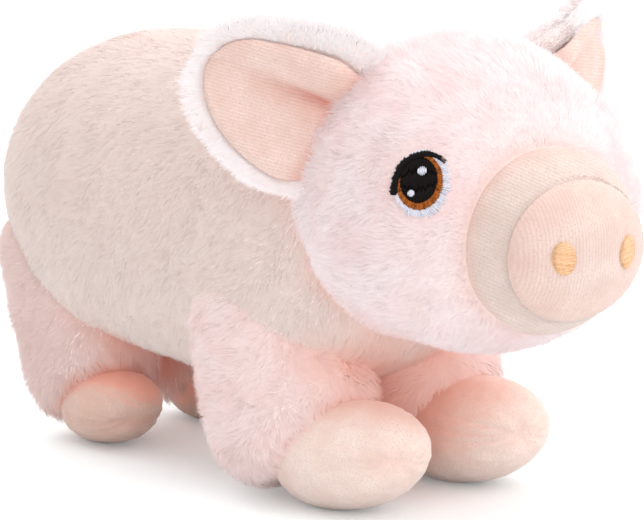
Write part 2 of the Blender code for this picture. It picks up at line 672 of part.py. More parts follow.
def build_limb(name, sign, leg, foot, larger):
    """A leg and its foot, each a cover and a core, parted by the tilted seam between them."""
    top, end, leg_sizes, shares = leg
    foot_sizes, foot_ahead, seam_back, splay, dimple_sizes, dimple_place = foot
    ahead = foot_axes(sign, splay)[0]
    leg_end = mirrored(end, sign)
    middle = leg_end + ahead * foot_ahead
    point, normal = seam_plane(middle, foot_sizes, seam_back, ahead)

    form = foot_form(middle, foot_sizes, sign, splay)
    hollow = cutter(name.format("foot_inner_guide"), form.mesh(CORE_MESH, -VELOUR_THICKNESS))
    cover = form.mesh(FOOT_MESH)
    dimple = toe_dimple(name.format("toe_dimple_guide"), cover, middle, ahead, dimple_sizes, dimple_place)
    slice_off(cover, point, -normal)
    slice_off(cover, Vector((0, 0, 0)), Vector((0, 0, -1)))
    piece(name.format("foot"), cover, VELOUR, (hollow, dimple))
    core = form.mesh(CORE_MESH, -VELOUR_THICKNESS - FIT_GAP)
    piece(name.format("foot_stuffing"), slice_off(core, point - normal * COVER_THICKNESS, -normal), STUFFING)

    form = leg_form(mirrored(top, sign), leg_end, leg_sizes, shares)
    inner = slice_off(form.mesh(CORE_MESH, -COVER_THICKNESS), point - normal * COVER_THICKNESS, normal)
    inner = cutter(name.format("leg_inner_guide"), inner)
    cover = slice_off(form.mesh(LEG_MESH), point - normal * FIT_GAP, normal)
    piece(name.format("leg"), cover, FUR, (inner, hollow, *larger))
    core = form.mesh(CORE_MESH, -COVER_THICKNESS - FIT_GAP)
    core = slice_off(core, point - normal * (COVER_THICKNESS + FIT_GAP), normal)
    piece(name.format("leg_stuffing"), core, STUFFING, larger)


def build_limbs(torso, head):
    front_leg = (FRONT_LEG_TOP, FRONT_LEG_END, FRONT_LEG_SIZES, FRONT_LEG_SHARES)
    rear = Vector((0, TORSO_CHEST_Y + TORSO_LENGTH, 0))
    hind_leg = (rear + HIND_LEG_TOP, rear + HIND_LEG_END, HIND_LEG_SIZES, HIND_LEG_SHARES)
    front_foot = (FRONT_FOOT_SIZES, FRONT_FOOT_AHEAD, FRONT_SEAM_BACK, FRONT_SPLAY)
    hind_foot = (HIND_FOOT_SIZES, HIND_FOOT_AHEAD, HIND_SEAM_BACK, HIND_SPLAY)
    front_foot += (FRONT_DIMPLE_SIZES, FRONT_DIMPLE_PLACE)
    hind_foot += (HIND_DIMPLE_SIZES, HIND_DIMPLE_PLACE)
    for side, sign in (("right", -1), ("left", 1)):
        build_limb("front_{}_" + side, sign, front_leg, front_foot, (torso, head))
        build_limb("hind_{}_" + side, sign, hind_leg, hind_foot, (torso,))


def tail_path(root):
    """Stations of the tail's middle line from its hinge: place, and share of the way to the tip."""
    path = [(root, 0.0)]
    opening, opened = TAIL_OPEN_SHARES
    for i in range(TAIL_STEPS + 1):
        s = i / TAIL_STEPS
        angle = math.tau * TAIL_TURNS * s
        curl = TAIL_CURL_RADIUS * min(1.0, opening + (1 - opening) * s / opened)
        turned = Vector((curl * math.sin(angle), TAIL_PITCH * s, curl * (1 - math.cos(angle))))
        path.append((root + Vector((0, TAIL_ROOT_LENGTH, 0)) + turned, s))
    return path


def build_tail():
    """A tube that leaves the rump from a rounded root, winds up one curl and thins to a rounded tip."""
    rump = torso_form().mesh(TORSO_MESH)
    behind = Vector((0, TORSO_CHEST_Y + TORSO_LENGTH + CUT_OVERRUN, TORSO_AXIS_HEIGHT + TAIL_ABOVE_AXIS))
    seat, outward = BVHTree.FromBMesh(rump).ray_cast(behind, Vector((0, -1, 0)))[:2]
    rump.free()
    root = seat + outward * (TAIL_CLEARANCE + TAIL_RADIUS)
    path = tail_path(root)
    side = Vector((1, 0, 0))
    sections = []

    def ring(centre, tangent, radius):
        up = side.cross(tangent).normalized()
        angles = [math.tau * k / TAIL_AROUND for k in range(TAIL_AROUND)]
        sections.append([centre + (side * math.cos(a) + up * math.sin(a)) * radius for a in angles])

    rounding = [math.pi / 2 * k / TAIL_END_RINGS for k in range(1, TAIL_END_RINGS)]
    for angle in rounding:
        ring(root - Vector((0, TAIL_RADIUS * math.cos(angle), 0)), Vector((0, 1, 0)), TAIL_RADIUS * math.sin(angle))
    for i, (centre, s) in enumerate(path):
        after = path[min(i + 1, len(path) - 1)][0]
        tangent = (after - path[max(i - 1, 0)][0]).normalized()
        side = (side - tangent * side.dot(tangent)).normalized()
        radius = TAIL_RADIUS * (1 + (TAIL_TIP_SHARE - 1) * s)
        ring(centre, tangent, radius)
    for angle in rounding:
        ring(centre + tangent * (radius * math.sin(angle)), tangent, radius * math.cos(angle))
    first_tip = root - Vector((0, TAIL_RADIUS, 0))
    piece("tail", closed_loft(sections, first_tip, centre + tangent * radius), VELOUR, origin=root)


def centre_over_origin():
    """Moves everything so that the box round the toy is centred over the origin."""
    bpy.context.view_layer.update()
    graph = bpy.context.evaluated_depsgraph_get()
    corners = []
    for item in bpy.data.objects:
        if not item.hide_render:
            corners += [item.matrix_world @ Vector(c) for c in item.evaluated_get(graph).bound_box]
    for k in (0, 1):
        middle = (min(c[k] for c in corners) + max(c[k] for c in corners)) / 2
        for item in bpy.data.objects:
            item.location[k] -= middle


def clear_scene():
    for item in list(bpy.data.objects):
        bpy.data.objects.remove(item)


clear_scene()
torso_clearance = build_torso()
head_clearance = build_head(torso_clearance)
build_snout(head_clearance)
build_eyes()
build_ears()
build_limbs(torso_clearance, head_clearance)
build_tail()
centre_over_origin()
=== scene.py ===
"""Looks of the plush pig: fur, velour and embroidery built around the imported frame."""

import math

import bpy
import numpy as np
from mathutils import Matrix, Vector
from mathutils.bvhtree import BVHTree


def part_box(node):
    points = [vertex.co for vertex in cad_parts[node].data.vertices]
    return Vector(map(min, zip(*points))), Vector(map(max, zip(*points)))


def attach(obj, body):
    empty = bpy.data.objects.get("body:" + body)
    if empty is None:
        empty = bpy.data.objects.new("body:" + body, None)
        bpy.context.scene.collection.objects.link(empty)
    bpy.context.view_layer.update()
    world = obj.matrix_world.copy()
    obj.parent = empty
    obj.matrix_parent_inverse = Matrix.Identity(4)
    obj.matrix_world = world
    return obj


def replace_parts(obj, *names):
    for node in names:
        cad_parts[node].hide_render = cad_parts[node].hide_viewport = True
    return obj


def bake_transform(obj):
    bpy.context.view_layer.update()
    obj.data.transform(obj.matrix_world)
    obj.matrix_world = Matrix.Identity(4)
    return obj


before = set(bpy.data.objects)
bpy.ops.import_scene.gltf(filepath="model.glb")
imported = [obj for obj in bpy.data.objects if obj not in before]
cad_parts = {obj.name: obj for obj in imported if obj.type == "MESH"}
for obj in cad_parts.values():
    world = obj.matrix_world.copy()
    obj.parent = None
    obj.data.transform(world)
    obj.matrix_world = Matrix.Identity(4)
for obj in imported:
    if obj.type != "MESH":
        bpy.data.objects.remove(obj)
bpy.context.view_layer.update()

# The toy's own frame has x = 0 as its middle plane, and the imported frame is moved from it
TORSO_CHEST_Y = -0.041
TORSO_LENGTH = 0.1355
TORSO_REAR_Y = TORSO_CHEST_Y + TORSO_LENGTH
torso_low, torso_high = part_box("torso")
SHIFT = np.array([(torso_low.x + torso_high.x) / 2, torso_high.y - TORSO_REAR_Y, 0.0])

# Camera, fitted to the photograph
CAMERA_AZIMUTH = -42
CAMERA_ELEVATION = 10.5
CAMERA_TARGET = Vector((0, 0, 0.0488)) + Vector(SHIFT)
CAMERA_DISTANCE = 0.80
CAMERA_LENS = 198
SENSOR = 36

# Light: each lamp's azimuth and elevation in degrees, distance, size in metres and power in watts
LAMPS = (
    ("top", 170, 62, 0.9, 1.2, 7.2), ("key", 0, 42, 0.9, 1.0, 1.9), ("front", -28, 8, 0.95, 0.8, 1.3),
    ("right", 45, 30, 0.9, 1.0, 2.8),
)
WORLD_STRENGTH = 0.76
FLOOR_GLOW = 0.16

# Fabrics
MM = 0.001
KNIT_PITCH = 0.00072
BLADES_A_PIECE = 64000
BLADE_UV = (0.0012, 0.0016)
UNDER_FUR = 0.0004
BY_SEAM = 0.0002
FRONT_LIGHT = np.array([0.2, -0.6, 0.8])
LOCKS, CURLS, SWINGS = 0.008, 0.0026, 0.005
THREAD_SIDES = 6
THREAD, NOSTRIL_THREAD, FINE_THREAD, CLOSING_THREAD = 0.00021, 0.00019, 0.00010, 0.00025

TORSO = dict(
    start=(0, TORSO_CHEST_Y, 0.0600), axis=(0, 1, 0), up=(0, 0, 1), sizes=(TORSO_LENGTH, 0.0385, 0.0355),
    rows=((0.0, 0.86, 0.90, -0.09), (0.35, 0.95, 1.0, -0.06), (0.65, 1.0, 1.0, 0.0), (1.0, 0.96, 0.97, 0.02)),
    caps=(0.27, 0.36), egg=0.08, square=0.86,
)
CLOSING_LENGTH = 0.034
CLOSING_BACK = 0.075 - CLOSING_LENGTH / 2
CLOSING_STITCHES = 16
CLOSING_REACH = 0.0009
CLOSING_SLANT = 0.0006
HEAD_LENGTH = 0.0670
HEAD_CENTRE = np.array([-0.0023, -0.0508, 0.0712])
HEAD = dict(
    sizes=(HEAD_LENGTH, 0.0339, 0.0321), caps=(0.46, 0.34), egg=0.14, square=0.97,
    rows=((0.0, 1.0, 1.0, 0.0), (0.5, 1.0, 1.0, 0.0), (0.8, 0.88, 0.90, -0.08), (1.0, 0.78, 0.80, -0.16)),
)
HEAD_YAW = math.radians(11.5)
SNOUT_BASE = (0.0191, 0.0191)
SNOUT_RIM = (0.0160, 0.0144)
SNOUT_BAND_LENGTH = 0.0080
SNOUT_DOME_HEIGHT = 0.0090
SNOUT_AHEAD = 0.0305
SNOUT_DROP = 0.0065
SNOUT_PITCH = math.radians(4)
SNOUT_ROOT_DEPTH = 0.008
SNOUT_AROUND = 120
BAND_SWELL_START = 0.0040
BAND_ROWS = ((0.0, 0.0), (0.25, 0.030), (0.5, 0.062), (0.75, 0.055), (1.0, 0.0))
DOME_ROWS = (
    (0.0, 0.0, 0.995), (0.17, 0.14, 1.01), (0.34, 0.34, 0.94), (0.51, 0.58, 0.79), (0.68, 0.80, 0.58),
    (0.84, 0.95, 0.31), (1.0, 1.0, 0.0),
)
NOSTRIL_SIZES = (0.0024, 0.0034)
NOSTRIL_APART = 0.0157
NOSTRIL_RISE = 0.0008
DENT_WIDTH = 0.0026
DENT_DEPTH = 0.00045
GATHERS_AROUND = 46
GATHER_DEPTH = 0.00012
EYE_SIZES = (0.0069, 0.0075)
EYE_PLACE = (0.0262, 0.0192, 0.0072)
EYE_GAZE = (0.80, 0.60, 0.12)
FAR_EYE_BACK = 0.0040
BARE_EYE = 0.98
WHITE = (-0.10, -0.11, 0.90, 0.92)
IRIS = (-0.03, -0.07, 0.724, 0.765)
PUPIL = (-0.025, -0.015, 0.564, 0.630)
GLINTS = (("glint_upper", (-0.16, 0.222, 0.14, 0.13)), ("glint_lower", (0.204, -0.36, 0.10, 0.10)))
LID_ROWS = (
    (0.0, 0.66, -0.36, 0.90, -0.34), (0.20, 0.56, 0.08, 0.79, 0.12), (0.40, 0.38, 0.40, 0.53, 0.54),
    (0.60, 0.0, 0.56, 0.05, 0.735), (0.78, -0.37, 0.575, -0.39, 0.73), (0.90, -0.62, 0.49, -0.69, 0.60),
    (1.0, -0.80, 0.36, -0.90, 0.44),
)
EAR_BASE_TOP = (0.0165, -0.0085, 0.0292)
EAR_BASE_FOOT = (0.0305, -0.0170, -0.0015)
EAR_TIP = (0.0488, -0.0290, 0.0322)
FAR_EAR_TIP_SHIFT = (0.0018, 0.0020, -0.0010)
EAR_CLEARANCE = 0.0006
EAR_THICKNESS = 0.0020
EAR_ROOT_SHARE = 0.55
EAR_ROOT_END = 0.25
EAR_GRID = (40, 32)
LINING_GRID = (48, 76)
LINING_LIFT = 0.0003
EAR_CUP = 0.0065
EAR_VALLEY = 0.34
FOLD_DEPTH = 0.40
FOLD_WIDTH = 0.055
LINING_INSET = 0.0023
LINING_UPPER_SHARES = (1.1, 2.8)
LINING_LOWER_SHARE = 1.3
LINING_THICKNESS = 0.0016
EAR_ROWS = (
    (0.0, -0.98, 0.92, 0.10), (0.10, -1.01, 1.04, 0.55), (0.25, -1.03, 1.12, 1.0), (0.45, -0.92, 1.10, 0.90),
    (0.65, -0.76, 1.00, 0.65), (0.82, -0.60, 0.82, 0.42), (0.94, -0.38, 0.58, 0.25), (1.0, -0.12, 0.32, 0.15),
)
FRONT_LEG = dict(
    top=(0.0215, -0.004, 0.058), end=(0.0183, -0.0090, 0.0018), sizes=(0.0172, 0.0192),
    rows=((0.0, 0.85, 0.72, -0.02), (0.3, 0.90, 0.78, -0.05), (0.6, 1.0, 0.94, 0.15), (1.0, 0.98, 1.0, 0.20)),
    foot=(0.0420, 0.0140, 0.0118), ahead=0.0210, seam_back=0.0105, splay=0.0,
    dimple=(0.0040, 0.0142), dimple_sizes=(0.0036, 0.0019, 0.0020),
)
HIND_LEG = dict(
    top=(0.0190, TORSO_REAR_Y - 0.0265, 0.058), end=(0.0160, TORSO_REAR_Y - 0.0345, 0.0018), sizes=(0.0128, 0.0132),
    rows=((0.0, 1.25, 1.42, 0.0), (0.45, 1.20, 1.28, 0.0), (0.8, 1.04, 1.06, 0.0), (1.0, 0.98, 1.0, 0.0)),
    foot=(0.0325, 0.0113, 0.0087), ahead=0.0070, seam_back=0.0075, splay=math.radians(20),
    dimple=(0.0, 0.0073), dimple_sizes=(0.0042, 0.0014, 0.0012),
)
SIDES = (("right", -1), ("left", 1))
LEG_CAPS = (0.25, 0.27)
FOOT_CAPS = (0.46, 0.44)
FOOT_ROWS = ((0.0, 0.96, 0.96, 0.0), (0.5, 1.0, 1.0, 0.0), (1.0, 0.92, 0.92, 0.0))
FOOT_PITCH = math.radians(14)
FOOT_PRESS = 0.0005
# Painted shade of the feet: a base share, and a gain on how closely the forms shut them in
FOOT_PAINTED_SHADE = {"front": (0.02, 0.55), "hind": (0.22, 1.2)}
FOLDS_AROUND = 9
FOLD_HEIGHT = 0.00060
RIPPLE_HEIGHT = 0.00018
SEAM_GAP = 0.0003
LEG_EASE = 0.0030
SEAM_TILT = math.radians(46)
TAIL_RADIUS = 0.0027
TAIL_TIP_SHARE = 0.5
TAIL_CURL_RADIUS = 0.0042
TAIL_OPEN = (0.25, 0.40)
TAIL_TURNS = 1.2
TAIL_PITCH = 0.0072
TAIL_ROOT_LENGTH = 0.0020
TAIL_STEPS = 60
TAIL_AROUND = 24


def array(v):
    return np.asarray(v, float)


def unit(v):
    return v / np.maximum(np.linalg.norm(v, axis=-1, keepdims=True), 1e-12)


def climb(x, start, width):
    """0 up to a start, 1 from a width beyond it."""
    return np.clip((x - start) / width, 0, 1)


def bell(x, centre, width):
    return np.exp(-(((x - centre) / width) ** 2))


def oval_ring(centre, side, up, half_width, half_height, around):
    angle = np.arange(around) * math.tau / around
    return centre + side * (half_width * np.cos(angle))[:, None] + up * (half_height * np.sin(angle))[:, None]


def smooth_row(rows, t):
    """Reads a table of rows at each t, on a smooth curve through them."""
    rows, t = array(rows), np.atleast_1d(array(t))
    i = np.clip(np.searchsorted(rows[:, 0], t, side="right") - 1, 0, len(rows) - 2)
    a, b = rows[i], rows[i + 1]
    before, after = rows[np.maximum(i - 1, 0)], rows[np.minimum(i + 2, len(rows) - 1)]
    span = b[:, :1] - a[:, :1]
    s = (t[:, None] - a[:, :1]) / span
    slope_a = (b - before) / (b[:, :1] - before[:, :1])
    slope_b = (after - a) / (after[:, :1] - a[:, :1])
    start = (2 * s**3 - 3 * s**2 + 1) * a + (s**3 - 2 * s**2 + s) * span * slope_a
    end = (-2 * s**3 + 3 * s**2) * b + (s**3 - s**2) * span * slope_b
    return (start + end)[:, 1:]


def dots(a, b):
    return np.einsum("ij,ij->i", a, b)


def quads(a, b, count):
    """The faces between two closed rings of points, whose first points are a and b."""
    return [(a + k, a + (k + 1) % count, b + (k + 1) % count, b + k) for k in range(count)]


class Noise:
    """Smooth random vectors over space, from a seeded table."""

    def __init__(self, seed, size=24):
        self.size = size
        self.table = np.random.default_rng(seed).uniform(-1, 1, (size, size, size, 3))

    def __call__(self, points, scale):
        q = points / scale
        i = np.floor(q).astype(int)
        f = q - i
        f = f * f * (3 - 2 * f)
        total = np.zeros(points.shape)
        for corner in range(8):
            offset = np.array([corner & 1, corner >> 1 & 1, corner >> 2 & 1])
            weight = np.prod(np.where(offset, f, 1 - f), axis=-1)
            k = (i + offset) % self.size
            total += self.table[k[:, 0], k[:, 1], k[:, 2]] * weight[:, None]
        return total


NOISE = Noise(7)


class Skin:
    """A closed surface in the toy's own frame, with the UV of each face corner."""

    def __init__(self, verts, faces, uvs):
        self.verts, self.faces, self.uvs = array(verts), faces, uvs
        # Painted shade of each vertex: 0 for none, towards 1 where shade is painted in
        self.painted_shade = np.zeros(len(self.verts))
        self.measure()
        a, b, c = (self.verts[self.tris[:, k]] for k in range(3))
        if dots(a, np.cross(b, c)).sum() < 0:
            self.faces = [f[::-1] for f in faces]
            self.uvs = [u[::-1] for u in uvs]
            self.measure()

    def measure(self):
        tris, corners = [], []
        for f, u in zip(self.faces, self.uvs):
            for k in range(1, len(f) - 1):
                tris.append((f[0], f[k], f[k + 1]))
                corners.append((u[0], u[k], u[k + 1]))
        self.tris, self.corners = np.array(tris), np.array(corners)
        a, b, c = (self.verts[self.tris[:, k]] for k in range(3))
        cross = np.cross(b - a, c - a)
        self.areas = np.linalg.norm(cross, axis=1) / 2
        normals = np.zeros_like(self.verts)
        for k in range(3):
            np.add.at(normals, self.tris[:, k], cross)
        self.normals = unit(normals)

    def push(self, amount):
        """Moves each vertex along its normal."""
        self.verts = self.verts + self.normals * np.asarray(amount)[:, None]
        self.measure()
        return self

    def stand(self):
        """Presses what would lie under the floor up to it."""
        self.verts[:, 2] = np.maximum(self.verts[:, 2], 0.0)
        self.measure()

    def tree(self):
        return BVHTree.FromPolygons([Vector(v) for v in self.verts], self.tris.tolist())


def tube(rings, tips):
    """A skin over rings of points, closed to a tip at each end."""
    rings = array(rings)
    count, around = rings.shape[:2]
    verts = np.concatenate([rings.reshape(-1, 3), array(tips)])
    faces, uvs = [], []
    for r in range(count - 1):
        v0, v1 = (r + 1) / (count + 1), (r + 2) / (count + 1)
        faces += quads(r * around, (r + 1) * around, around)
        for k in range(around):
            u0, u1 = k / around, (k + 1) / around
            uvs.append(((u0, v0), (u1, v0), (u1, v1), (u0, v1)))
    for tip, r, v_tip in ((count * around, 0, 0.0), (count * around + 1, count - 1, 1.0)):
        v = (r + 1) / (count + 1)
        for k in range(around):
            n = (k + 1) % around
            u0, u1 = k / around, (k + 1) / around
            face = (r * around + n, r * around + k, tip)
            uv = ((u1, v), (u0, v), ((u0 + u1) / 2, v_tip))
            faces.append(face if v_tip == 0 else face[::-1])
            uvs.append(uv if v_tip == 0 else uv[::-1])
    return Skin(verts, faces, uvs)


class Form:
    """A stuffed form: oval sections strung along an axis, with two rounded ends."""

    def __init__(self, start, axis, up, sizes, rows, caps, egg=0.0, square=1.0):
        self.start = array(start)
        self.axis = unit(array(axis))
        self.side = unit(np.cross(self.axis, array(up)))
        self.up = unit(np.cross(self.side, self.axis))
        self.length, self.half_width, self.half_height = sizes
        self.rows, self.caps, self.egg, self.square = rows, caps, egg, square

    def cap(self, t):
        opened = np.minimum(1.0, np.minimum(t / self.caps[0], (1 - t) / self.caps[1]))
        return np.sqrt(np.maximum(0.0, 1 - (1 - opened) ** 2))

    def ring(self, t, around, grow=0.0):
        width, height = smooth_row(self.rows, t)[0][:2]
        opened = self.cap(t)
        angle = np.arange(around) * math.tau / around
        c, s = np.cos(angle), np.sin(angle)
        c = np.sign(c) * np.abs(c) ** self.square
        s = np.sign(s) * np.abs(s) ** self.square
        half_width = (self.half_width * width + grow) * opened
        half_height = (self.half_height * height + grow) * opened
        aside = self.side * (half_width * c * (1 - self.egg * s))[:, None]
        return self.middle(t, grow) + aside + self.up * (half_height * s)[:, None]

    def middle(self, t, grow=0.0):
        lift = smooth_row(self.rows, t)[0][2]
        return self.start + self.axis * (t * (self.length + 2 * grow) - grow) + self.up * (lift * self.half_height)

    def skin(self, steps, around, grow=0.0):
        stations = [(1 - math.cos(math.pi * i / steps)) / 2 for i in range(1, steps)]
        return tube([self.ring(t, around, grow) for t in stations], [self.middle(0.0, grow), self.middle(1.0, grow)])

    def holds(self, points, grow=0.0):
        """Which points lie inside the form grown by an amount."""
        local = points - self.start
        t = np.clip((local @ self.axis + grow) / (self.length + 2 * grow), 0, 1)
        rows = smooth_row(self.rows, t)
        opened = np.maximum(self.cap(t), 1e-6)
        y = (local @ self.up - rows[:, 2] * self.half_height) / ((self.half_height * rows[:, 1] + grow) * opened)
        width = (self.half_width * rows[:, 0] + grow) * opened
        x = (local @ self.side) / (width * (1 - self.egg * np.clip(y, -1, 1)))
        power = 2 / self.square
        inside = np.abs(x) ** power + np.abs(y) ** power < 1
        return inside & (t > 0) & (t < 1)


# Materials

# Colour of painted shade: fabrics turn towards it where forms meet and in hollows
PAINTED_SHADE_COLOUR = (0.90, 0.46, 0.36)
PILE_GRAIN = 0.22


def add_node(tree, kind, output, inputs, **words):
    """Adds a node, gives its inputs values or other nodes' outputs, and returns one of its outputs."""
    node = tree.nodes.new(kind)
    for word, value in words.items():
        setattr(node, word, value)
    for key, value in inputs.items():
        if isinstance(value, bpy.types.NodeSocket):
            tree.links.new(value, node.inputs[key])
        else:
            node.inputs[key].default_value = value
    return node.outputs[output]


class Graph:
    """A material and the nodes that are added to it."""

    def __init__(self, name, roughness, sheen=0.0, sheen_roughness=0.4, specular=0.3):
        self.material = bpy.data.materials.new(name)
        self.material.use_nodes = True
        self.tree = self.material.node_tree
        self.shader = self.tree.nodes["Principled BSDF"]
        self.shader.inputs["Roughness"].default_value = roughness
        self.shader.inputs["Sheen Weight"].default_value = sheen
        self.shader.inputs["Sheen Roughness"].default_value = sheen_roughness
        self.shader.inputs["Specular IOR Level"].default_value = specular

    def add(self, kind, output, inputs, **words):
        return add_node(self.tree, kind, output, inputs, **words)

    def feed(self, socket, value):
        self.tree.links.new(value, self.shader.inputs[socket])

    def place(self):
        return self.add("ShaderNodeTexCoord", "Object", {})

    def strand(self, channel):
        """Red is the place along a strand, Green the strand's random tone, Blue the painted shade where forms meet
        and in hollows.
        """
        colour = self.add("ShaderNodeAttribute", "Color", {}, attribute_name="strand")
        return self.add("ShaderNodeSeparateColor", channel, {"Color": colour})

    def mix(self, factor, a, b, blend="MIX"):
        """Two colours or sockets mixed by a number or a socket."""
        a, b = (v if isinstance(v, bpy.types.NodeSocket) else (*v, 1) for v in (a, b))
        return self.add("ShaderNodeMix", 2, {0: factor, 6: a, 7: b}, data_type="RGBA", blend_type=blend)

    def noise(self, scale, detail=2.0, roughness=0.5):
        inputs = {"Vector": self.place(), "Scale": scale, "Detail": detail, "Roughness": roughness}
        return self.add("ShaderNodeTexNoise", "Fac", inputs)

    def stretch(self, factor, low, high):
        """A factor stretched so that low becomes 0 and high becomes 1."""
        return self.add("ShaderNodeMapRange", "Result", {"Value": factor, "From Min": low, "From Max": high})

    def bump(self, height, strength, distance):
        inputs = {"Height": height, "Strength": strength, "Distance": distance}
        self.feed("Normal", self.add("ShaderNodeBump", "Normal", inputs))


def fur_material(name, deep, pale, blotch, painted_shade_colour=(0.95, 0.50, 0.41)):
    """Strands that go from a deep root colour to a pale tip, blotched over the body, with painted shade: redder
    where forms meet and in hollows.
    """
    graph = Graph(name, 0.9, sheen=0.25, specular=0.15)
    tip = graph.mix(graph.stretch(graph.noise(90.0, 5.0, 0.62), 0.42, 0.64), pale, blotch)
    colour = graph.mix(graph.stretch(graph.strand("Red"), 0.0, 0.85), deep, tip)
    darker = graph.mix(graph.strand("Green"), (0.96, 0.94, 0.94), (1, 1, 1))
    colour = graph.mix(1.0, colour, darker, "MULTIPLY")
    graph.feed("Base Color", graph.mix(graph.strand("Blue"), colour, painted_shade_colour))
    return graph.material


def skin_material(name, deep, pale):
    """The backing under the fur, seen only between strands, with painted shade mixed in where forms meet."""
    graph = Graph(name, 0.95, sheen=0.1, specular=0.1)
    colour = graph.mix(graph.noise(900.0, 3.0), deep, pale)
    graph.feed("Base Color", graph.mix(graph.strand("Blue"), colour, PAINTED_SHADE_COLOUR))
    return graph.material


def velour_material(name, deep, pale, rows_along=None, rows_strength=0.25, painted_shade_colour=PAINTED_SHADE_COLOUR):
    """Short pile: fine grain, soft blotches where it is brushed, knit rows where a direction is given, and painted
    shade where forms meet and in hollows.
    """
    graph = Graph(name, 0.85, sheen=0.35, sheen_roughness=0.35, specular=0.15)
    colour = graph.mix(graph.stretch(graph.noise(160.0, 3.0), 0.35, 0.65), deep, pale)
    height = fine = graph.noise(2600.0, 2.0, 0.6)
    colour = graph.mix(graph.stretch(fine, 0.30, 0.55), tuple(c * 0.92 for c in deep), colour)
    if rows_along is not None:
        turn = Vector(rows_along).normalized().to_track_quat("X", "Z").to_euler()
        inputs = {"Vector": graph.place(), "Rotation": turn}
        turned_place = graph.add("ShaderNodeMapping", "Vector", inputs, vector_type="TEXTURE")
        inputs = {"Scale": math.tau / 20 / KNIT_PITCH, "Distortion": 1.2, "Detail": 2.0, "Detail Scale": 1.5}
        wave = graph.add("ShaderNodeTexWave", "Fac", {"Vector": turned_place, **inputs})
        row_colour = graph.mix(wave, tuple(c * 0.86 for c in deep), (1, 1, 1))
        colour = graph.mix(rows_strength, colour, row_colour, "MULTIPLY")
        height = graph.add("ShaderNodeMath", 0, {0: wave, 1: fine}, operation="ADD")
    graph.feed("Base Color", graph.mix(graph.strand("Blue"), colour, painted_shade_colour))
    graph.bump(height, PILE_GRAIN, 0.0003)
    return graph.material


def thread_material(name, dark, light, roughness, sheen, specular):
    """Satin stitches: glossy thread whose strands vary."""
    graph = Graph(name, roughness, sheen=sheen, specular=specular)
    fine = graph.stretch(graph.noise(1800.0, 2.0), 0.3, 0.7)
    graph.feed("Base Color", graph.mix(graph.strand("Green"), graph.mix(fine, dark, light), light))
    graph.bump(fine, 0.3, 0.0001)
    return graph.material


# Meshes


def show(name, mesh, material, body):
    made = bpy.data.objects.new(name, mesh)
    bpy.context.scene.collection.objects.link(made)
    mesh.materials.append(material)
    if body is not None:
        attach(made, body)
    return made


def give_strand(mesh, values):
    attribute = mesh.attributes.new("strand", "FLOAT_COLOR", "POINT")
    attribute.data.foreach_set("color", values.astype(np.float32).ravel())


def skin_object(name, skin, material, body):
    mesh = bpy.data.meshes.new(name)
    mesh.from_pydata((skin.verts + SHIFT).tolist(), [], skin.faces)
    layer = mesh.uv_layers.new(name="UVMap")
    layer.data.foreach_set("uv", np.array([c for u in skin.uvs for c in u]).ravel())
    strand = np.ones((len(skin.verts), 4))
    # Blue carries the skin's painted shade
    strand[:, 2] = skin.painted_shade
    give_strand(mesh, strand)
    mesh.shade_smooth()
    return show(name, mesh, material, body)


def cover(name, skin, material, body, slot, fill, *solids):
    """A stuffed cover that stands in for its solids."""
    made = skin_object(name, skin, material, body)
    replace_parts(made, *solids)


def ribbon_mesh(name, verts, uvs, strand, normals):
    """A mesh of two-step blades: five points each, a quad and a triangle."""
    count = len(verts)
    mesh = bpy.data.meshes.new(name)
    mesh.vertices.add(count * 5)
    mesh.vertices.foreach_set("co", (verts + SHIFT).astype(np.float32).ravel())
    corners = np.array([0, 1, 3, 2, 2, 3, 4])
    loops = (np.arange(count)[:, None] * 5 + corners).ravel()
    mesh.loops.add(count * 7)
    mesh.loops.foreach_set("vertex_index", loops.astype(np.int32))
    mesh.polygons.add(count * 2)
    starts = (np.arange(count)[:, None] * 7 + np.array([0, 4])).ravel()
    mesh.polygons.foreach_set("loop_start", starts.astype(np.int32))
    mesh.polygons.foreach_set("use_smooth", np.ones(count * 2, bool))
    layer = mesh.uv_layers.new(name="OFBake")
    layer.data.foreach_set("uv", uvs[:, corners].astype(np.float32).ravel())
    give_strand(mesh, strand)
    mesh.update(calc_edges=True)
    mesh.normals_split_custom_set_from_vertices(normals.reshape(-1, 3).tolist())
    return mesh


